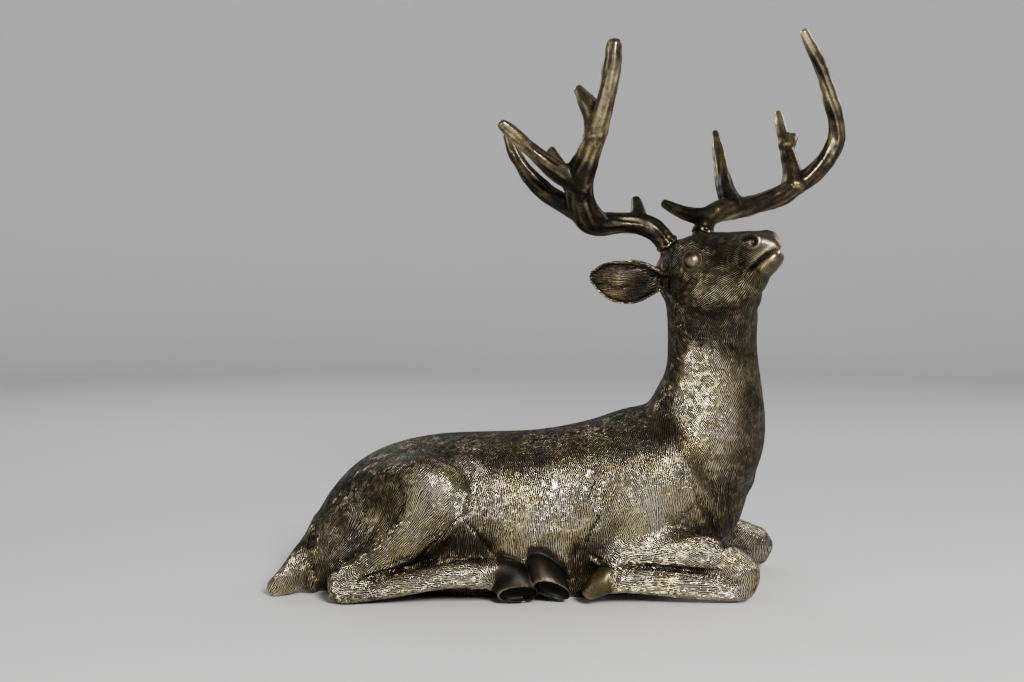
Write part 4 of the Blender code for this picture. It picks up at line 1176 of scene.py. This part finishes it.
def build_antler(name, beam, tines, seam, material, node, seed):
    rng = np.random.default_rng(seed)
    bm = bmesh.new()
    centre, axis = np.array(seam[0]), unit(seam[1])
    start = [tuple(centre - axis * 8) + (beam[0][3],)]
    thicker = [row[:3] + (row[3] + (0.0 if k < 2 else 0.6),) for k, row in enumerate(beam)]
    rough_tube(bm, start + thicker, rng, 150, knobs=0.9)
    for tine in tines:
        swollen = [row[:3] + (row[3] * (1.2 if k == 0 else 1.06) + 1.1,) for k, row in enumerate(tine)]
        rough_tube(bm, swollen, rng, 60)
    # the burr: a collar of knobs just over the seam
    u = unit(np.cross(axis, (0.2, 1.0, 0.1)))
    v = np.cross(axis, u)
    count = 15
    for k in range(count):
        a = 2 * math.pi * (k + rng.uniform(-0.2, 0.2)) / count
        r = beam[0][3] + rng.uniform(-1.2, 0.2)
        p = centre + axis * rng.uniform(1.6, 3.4) + u * r * math.cos(a) + v * r * math.sin(a)
        ball(bm, p, (rng.uniform(1.8, 2.6), rng.uniform(1.6, 2.1), rng.uniform(1.8, 2.9)), (axis, unit(u * math.cos(a) + v * math.sin(a)), np.cross(axis, unit(u * math.cos(a) + v * math.sin(a)))))
    mesh = remesh(mesh_of(bm), 0.85)
    co, ed = arrays(mesh)
    co = relax(co, ed, 3, 0.5)
    # the forks are webbed
    web = np.zeros(len(co))
    for tine in tines:
        a, b = np.array(tine[0][:3]), np.array(tine[1][:3])
        web = np.maximum(web, np.exp(-(np.linalg.norm(co - (a * 0.4 + b * 0.6), axis=1) / 13.0) ** 2))
    co = relax(co, ed, 45, 0.8 * web)
    nor = normals(mesh, co)
    # a gently uneven surface all over, from a few random waves
    bump = np.zeros(len(co))
    for _ in range(14):
        k = rng.normal(0, 1, 3)
        k *= rng.uniform(0.25, 0.75) / np.linalg.norm(k)
        bump += np.sin(co @ k + rng.uniform(0, 6.28))
    bump /= 14 ** 0.5
    co = co + nor * (0.22 * bump)[:, None]
    cut_flat(co, seam, reach=24.0, side=-1.0)
    store(mesh, co)
    nor = normals(mesh)
    smooth = relax(co, ed, 10, 0.6)
    bulge = ((co - smooth) * nor).sum(1)
    paths = [smooth_rows([r[:3] for r in rows], 40) for rows in (beam,) + tuple(tines)]
    best = np.full(len(co), 1e9)
    flow = np.zeros((len(co), 3))
    for path in paths:
        way = np.gradient(path, axis=0)
        d2 = ((co[:, None, :] - path[None]) ** 2).sum(2)
        j = d2.argmin(1)
        d = d2[np.arange(len(co)), j]
        near = d < best
        best[near] = d[near]
        flow[near] = way[j[near]]
    flow = tangent(relax(tangent(flow, nor), ed, 4), nor)
    base = np.exp(-(np.linalg.norm(co - centre, axis=1) / 26.0) ** 2)
    put_attribute(mesh, "bulge", np.clip(bulge / 0.8, -1, 1))
    put_attribute(mesh, "lie", flow)
    put_attribute(mesh, "base", base)
    put_attribute(mesh, "reach", np.clip((co[:, 2] - 392.0) / 90.0, 0, 1) - 0.55 * web)
    out = decimated(mesh, ANTLER_TRIANGLES)
    to_part(out)
    return placed(name, out, material, node)


ANTLER_TRIANGLES = 90000


# ================================================================ materials
class Graph:
    """Wires the nodes of one material."""

    def __init__(self, name):
        self.material = bpy.data.materials.new(name)
        self.material.use_nodes = True
        self.tree = self.material.node_tree
        self.tree.nodes.clear()
        self.out = self.tree.nodes.new("ShaderNodeOutputMaterial")
        self.shader = self.tree.nodes.new("ShaderNodeBsdfPrincipled")
        self.tree.links.new(self.shader.outputs[0], self.out.inputs[0])

    def node(self, kind, **settings):
        n = self.tree.nodes.new(kind)
        for key, value in settings.items():
            setattr(n, key, value)
        return n

    def put(self, socket, value):
        if hasattr(value, "node"):
            self.tree.links.new(value, socket)
        else:
            socket.default_value = value
        return socket

    def math(self, op, a, b=0.0, clamp=False):
        n = self.node("ShaderNodeMath", operation=op, use_clamp=clamp)
        self.put(n.inputs[0], a)
        self.put(n.inputs[1], b)
        return n.outputs[0]

    def sum(self, *pairs):
        """Weighted sum of (value, weight) pairs."""
        total = None
        for value, weight in pairs:
            part = self.math("MULTIPLY", value, weight)
            total = part if total is None else self.math("ADD", total, part)
        return total

    def vec(self, op, a, b=None):
        n = self.node("ShaderNodeVectorMath", operation=op)
        self.put(n.inputs[0], a)
        if b is not None:
            self.put(n.inputs[3] if op == "SCALE" else n.inputs[1], b)
        return n.outputs[1] if op in ("DOT_PRODUCT", "LENGTH") else n.outputs[0]

    def attribute(self, name, vector=False):
        n = self.node("ShaderNodeAttribute", attribute_name=name)
        return n.outputs["Vector" if vector else "Fac"]

    def remap(self, value, low, high, to_low=0.0, to_high=1.0):
        n = self.node("ShaderNodeMapRange")
        self.put(n.inputs["Value"], value)
        n.inputs["From Min"].default_value, n.inputs["From Max"].default_value = low, high
        n.inputs["To Min"].default_value, n.inputs["To Max"].default_value = to_low, to_high
        return n.outputs[0]

    def ramp(self, value, stops):
        n = self.node("ShaderNodeValToRGB")
        self.put(n.inputs[0], value)
        ramp = n.color_ramp
        while len(ramp.elements) < len(stops):
            ramp.elements.new(0.5)
        for e, (at_, colour) in zip(ramp.elements, stops):
            e.position = at_
            e.color = tuple(colour) + (1.0,)
        return n.outputs[0]

    def noise(self, vector, scale, detail=3.0, rough=0.55):
        n = self.node("ShaderNodeTexNoise")
        self.put(n.inputs["Vector"], vector)
        n.inputs["Scale"].default_value = scale
        n.inputs["Detail"].default_value = detail
        n.inputs["Roughness"].default_value = rough
        return n.outputs[0]

    def gabor(self, vector, scale, frequency, orientation):
        n = self.node("ShaderNodeTexGabor", gabor_type="3D")
        self.put(n.inputs["Vector"], vector)
        n.inputs["Scale"].default_value = scale
        n.inputs["Frequency"].default_value = frequency
        n.inputs["Anisotropy"].default_value = 1.0
        for socket in n.inputs:
            if socket.name == "Orientation" and socket.type == "VECTOR":
                self.put(socket, orientation)
        return n.outputs["Value"]

    def tint(self, colour, value):
        """Leans a colour from silvery to olive gold."""
        lean = self.ramp(value, ((0.36, (0.97, 0.985, 1.10)), (0.64, (1.0, 0.985, 0.84))))
        return self.vec("MULTIPLY", colour, lean)

    def bump(self, height, distance, strength=1.0):
        n = self.node("ShaderNodeBump")
        n.inputs["Strength"].default_value = strength
        n.inputs["Distance"].default_value = distance
        self.put(n.inputs["Height"], height)
        return n.outputs[0]


PATINA = ((0.0, (0.010, 0.0085, 0.006)), (0.26, (0.034, 0.028, 0.019)), (0.48, (0.125, 0.103, 0.068)),
          (0.70, (0.36, 0.31, 0.215)), (0.90, (0.66, 0.58, 0.43)), (1.0, (0.80, 0.72, 0.56)))


def bronze_coat():
    g = Graph("antique_bronze_coat")
    geo = g.node("ShaderNodeNewGeometry")
    place, normal = geo.outputs["Position"], geo.outputs["Normal"]
    lie = g.attribute("lie", True)
    coat, wear_and_painted_light, lift = g.attribute("coat"), g.attribute("wear_and_painted_light"), g.attribute("lift")
    stray = g.node("ShaderNodeTexNoise")
    g.put(stray.inputs["Vector"], place)
    stray.inputs["Scale"].default_value, stray.inputs["Detail"].default_value = 90.0, 1.0
    astray = g.vec("SCALE", g.vec("SUBTRACT", stray.outputs["Color"], (0.5, 0.5, 0.5)), 0.95)
    across = g.vec("NORMALIZE", g.vec("CROSS_PRODUCT", normal, g.vec("ADD", lie, astray)))
    painted_shade_openness, bulge = g.attribute("painted_shade_openness"), g.attribute("bulge")
    hair = g.gabor(place, 112.0, 5.4, across)
    patch = g.noise(place, 42.0, 3.0, 0.6)
    grain = g.noise(place, 560.0, 1.0, 0.6)
    broken = g.remap(g.noise(place, 210.0, 1.0), 0.34, 0.62, 0.65, 1.25)
    strands = g.math("MULTIPLY", g.math("MULTIPLY", g.remap(hair, 0.36, 0.64, -0.5, 0.5), coat), broken)
    bare = g.math("SUBTRACT", 1.0, coat)
    head = g.math("MULTIPLY", g.math("SUBTRACT", 1.0, g.attribute("fine")), 0.45)
    rich = g.math("ADD", g.math("ADD", g.math("MULTIPLY", wear_and_painted_light, 0.34), 0.64), head)
    # the level takes painted shade where the space over the surface is closed, and painted highlights and painted shade
    # with the rubbing from the wear attribute
    level = g.sum((wear_and_painted_light, 0.44), (g.math("MULTIPLY", strands, rich), 1.0), (g.math("SUBTRACT", lift, 0.42), 0.16),
                  (bulge, 0.34), (g.math("SUBTRACT", patch, 0.5), 0.60), (g.math("SUBTRACT", grain, 0.5), 0.28),
                  (painted_shade_openness, 0.42), (bare, -0.10))
    level = g.math("SUBTRACT", level, 0.20, clamp=True)
    g.put(g.shader.inputs["Base Color"], g.tint(g.ramp(level, PATINA), g.noise(place, 26.0, 2.0)))
    g.put(g.shader.inputs["Metallic"], g.remap(level, 0.15, 0.6, 0.72, 1.0))
    g.put(g.shader.inputs["Roughness"], g.remap(level, 0.2, 0.85, 0.50, 0.27))
    height = g.sum((strands, 1.0), (grain, 0.12), (patch, 0.12))
    g.put(g.shader.inputs["Normal"], g.bump(height, 0.0011, 0.75))
    return g.material


def bronze_antler():
    g = Graph("antique_bronze_antler")
    geo = g.node("ShaderNodeNewGeometry")
    place, normal = geo.outputs["Position"], geo.outputs["Normal"]
    lie = g.attribute("lie", True)
    across = g.vec("NORMALIZE", g.vec("CROSS_PRODUCT", normal, lie))
    bulge, base = g.attribute("bulge"), g.attribute("base")
    streak = g.gabor(place, 62.0, 3.0, across)
    patch = g.noise(place, 26.0, 4.0, 0.66)
    grain = g.noise(place, 420.0, 2.0, 0.6)
    level = g.sum((bulge, 0.60), (g.math("SUBTRACT", streak, 0.5), 0.16), (g.math("SUBTRACT", patch, 0.5), 1.25),
                  (g.math("SUBTRACT", grain, 0.5), 0.30), (base, -0.10), (g.attribute("reach"), 0.22))
    level = g.math("ADD", level, 0.30, clamp=True)
    g.put(g.shader.inputs["Base Color"], g.tint(g.ramp(level, PATINA), patch))
    g.put(g.shader.inputs["Metallic"], g.remap(level, 0.15, 0.6, 0.8, 1.0))
    g.put(g.shader.inputs["Roughness"], g.remap(level, 0.2, 0.85, 0.40, 0.25))
    height = g.sum((streak, 0.4), (grain, 0.12), (patch, 0.5))
    g.put(g.shader.inputs["Normal"], g.bump(height, 0.0012, 0.5))
    return g.material


def plain(name, colour, roughness):
    g = Graph(name)
    g.shader.inputs["Base Color"].default_value = tuple(colour) + (1.0,)
    g.shader.inputs["Roughness"].default_value = roughness
    return g.material


# ================================================================ studio
def area_light(name, place, target, size, power, colour=(1, 1, 1)):
    data = bpy.data.lights.new(name, "AREA")
    data.shape = "RECTANGLE"
    data.size, data.size_y = size
    data.energy = power
    data.color = colour
    obj = bpy.data.objects.new(name, data)
    bpy.context.scene.collection.objects.link(obj)
    obj.location = place
    obj.rotation_euler = (Vector(target) - Vector(place)).to_track_quat("-Z", "Y").to_euler()
    return obj


def studio():
    scene = bpy.context.scene
    data = bpy.data.cameras.new("view")
    data.sensor_fit, data.sensor_width = "HORIZONTAL", 36.0
    data.lens = FOCAL * 36.0 / 1024.0
    data.clip_start, data.clip_end = 0.02, 50.0
    camera = bpy.data.objects.new("view", data)
    scene.collection.objects.link(camera)
    camera.location = (eye_point() + SHIFT) * MM
    camera.rotation_euler = (math.pi / 2 - DOWN, 0.0, 0.0)
    scene.camera = camera
    # pale floor that turns up into a round wall, far outside the viewpoints
    rings = [(0.0, 0.0)] + [(r, 0.0) for r in (0.3, 0.7, 1.2, 1.8, 2.4)]
    rings += [(2.4 + 0.6 * math.sin(t), 0.6 - 0.6 * math.cos(t)) for t in np.linspace(0.15, math.pi / 2, 9)]
    rings += [(3.0, 1.4), (3.0, 2.6)]
    bm = bmesh.new()
    sides = 96
    hub = bm.verts.new((0, 0, rings[0][1]))
    loops = []
    for r, z in rings[1:]:
        loops.append([bm.verts.new((r * math.cos(2 * math.pi * k / sides), r * math.sin(2 * math.pi * k / sides), z)) for k in range(sides)])
    for k in range(sides):
        bm.faces.new((hub, loops[0][k], loops[0][(k + 1) % sides]))
        for a, b in zip(loops, loops[1:]):
            bm.faces.new((a[k], b[k], b[(k + 1) % sides], a[(k + 1) % sides]))
    mesh = bpy.data.meshes.new("studio_floor")
    bm.to_mesh(mesh)
    bm.free()
    mesh.shade_smooth()
    mesh.materials.append(plain("pale_paper", (0.66, 0.66, 0.665), 0.75))
    floor = bpy.data.objects.new("studio_floor", mesh)
    scene.collection.objects.link(floor)
    aim = (0.02, 0.0, 0.22)
    area_light("key", (0.55, -1.75, 1.15), aim, (0.55, 0.55), 54.0, (1.0, 0.985, 0.96))
    area_light("fill", (-1.5, -1.2, 0.8), aim, (1.1, 1.1), 4.5, (0.96, 0.98, 1.0))
    area_light("back_left", (-0.9, 1.5, 1.3), aim, (0.9, 0.9), 6.0)
    area_light("back_right", (1.5, 1.0, 1.2), aim, (0.9, 0.9), 6.0)
    area_light("wall", (0.0, 0.9, 2.2), (0.0, 3.0, 0.7), (1.2, 0.6), 5.0)
    world = bpy.data.worlds.new("studio")
    world.use_nodes = True
    world.node_tree.nodes["Background"].inputs[0].default_value = (0.80, 0.81, 0.83, 1.0)
    world.node_tree.nodes["Background"].inputs[1].default_value = 0.25
    scene.world = world
    scene.view_settings.look = "AgX - Medium High Contrast"
    scene.cycles.denoising_prefilter = "NONE"     # keeps the fine strokes of the coat


# ================================================================ all together
def main():
    studio()
    build_body(bronze_coat())
    antlers = bronze_antler()
    build_antler("antler_right_bronze", BEAM_RIGHT, TINES_RIGHT, SEAM_RIGHT, antlers, "antler_right", 31)
    build_antler("antler_left_bronze", BEAM_LEFT, TINES_LEFT, SEAM_LEFT, antlers, "antler_left", 47)
    bpy.context.view_layer.update()


main()
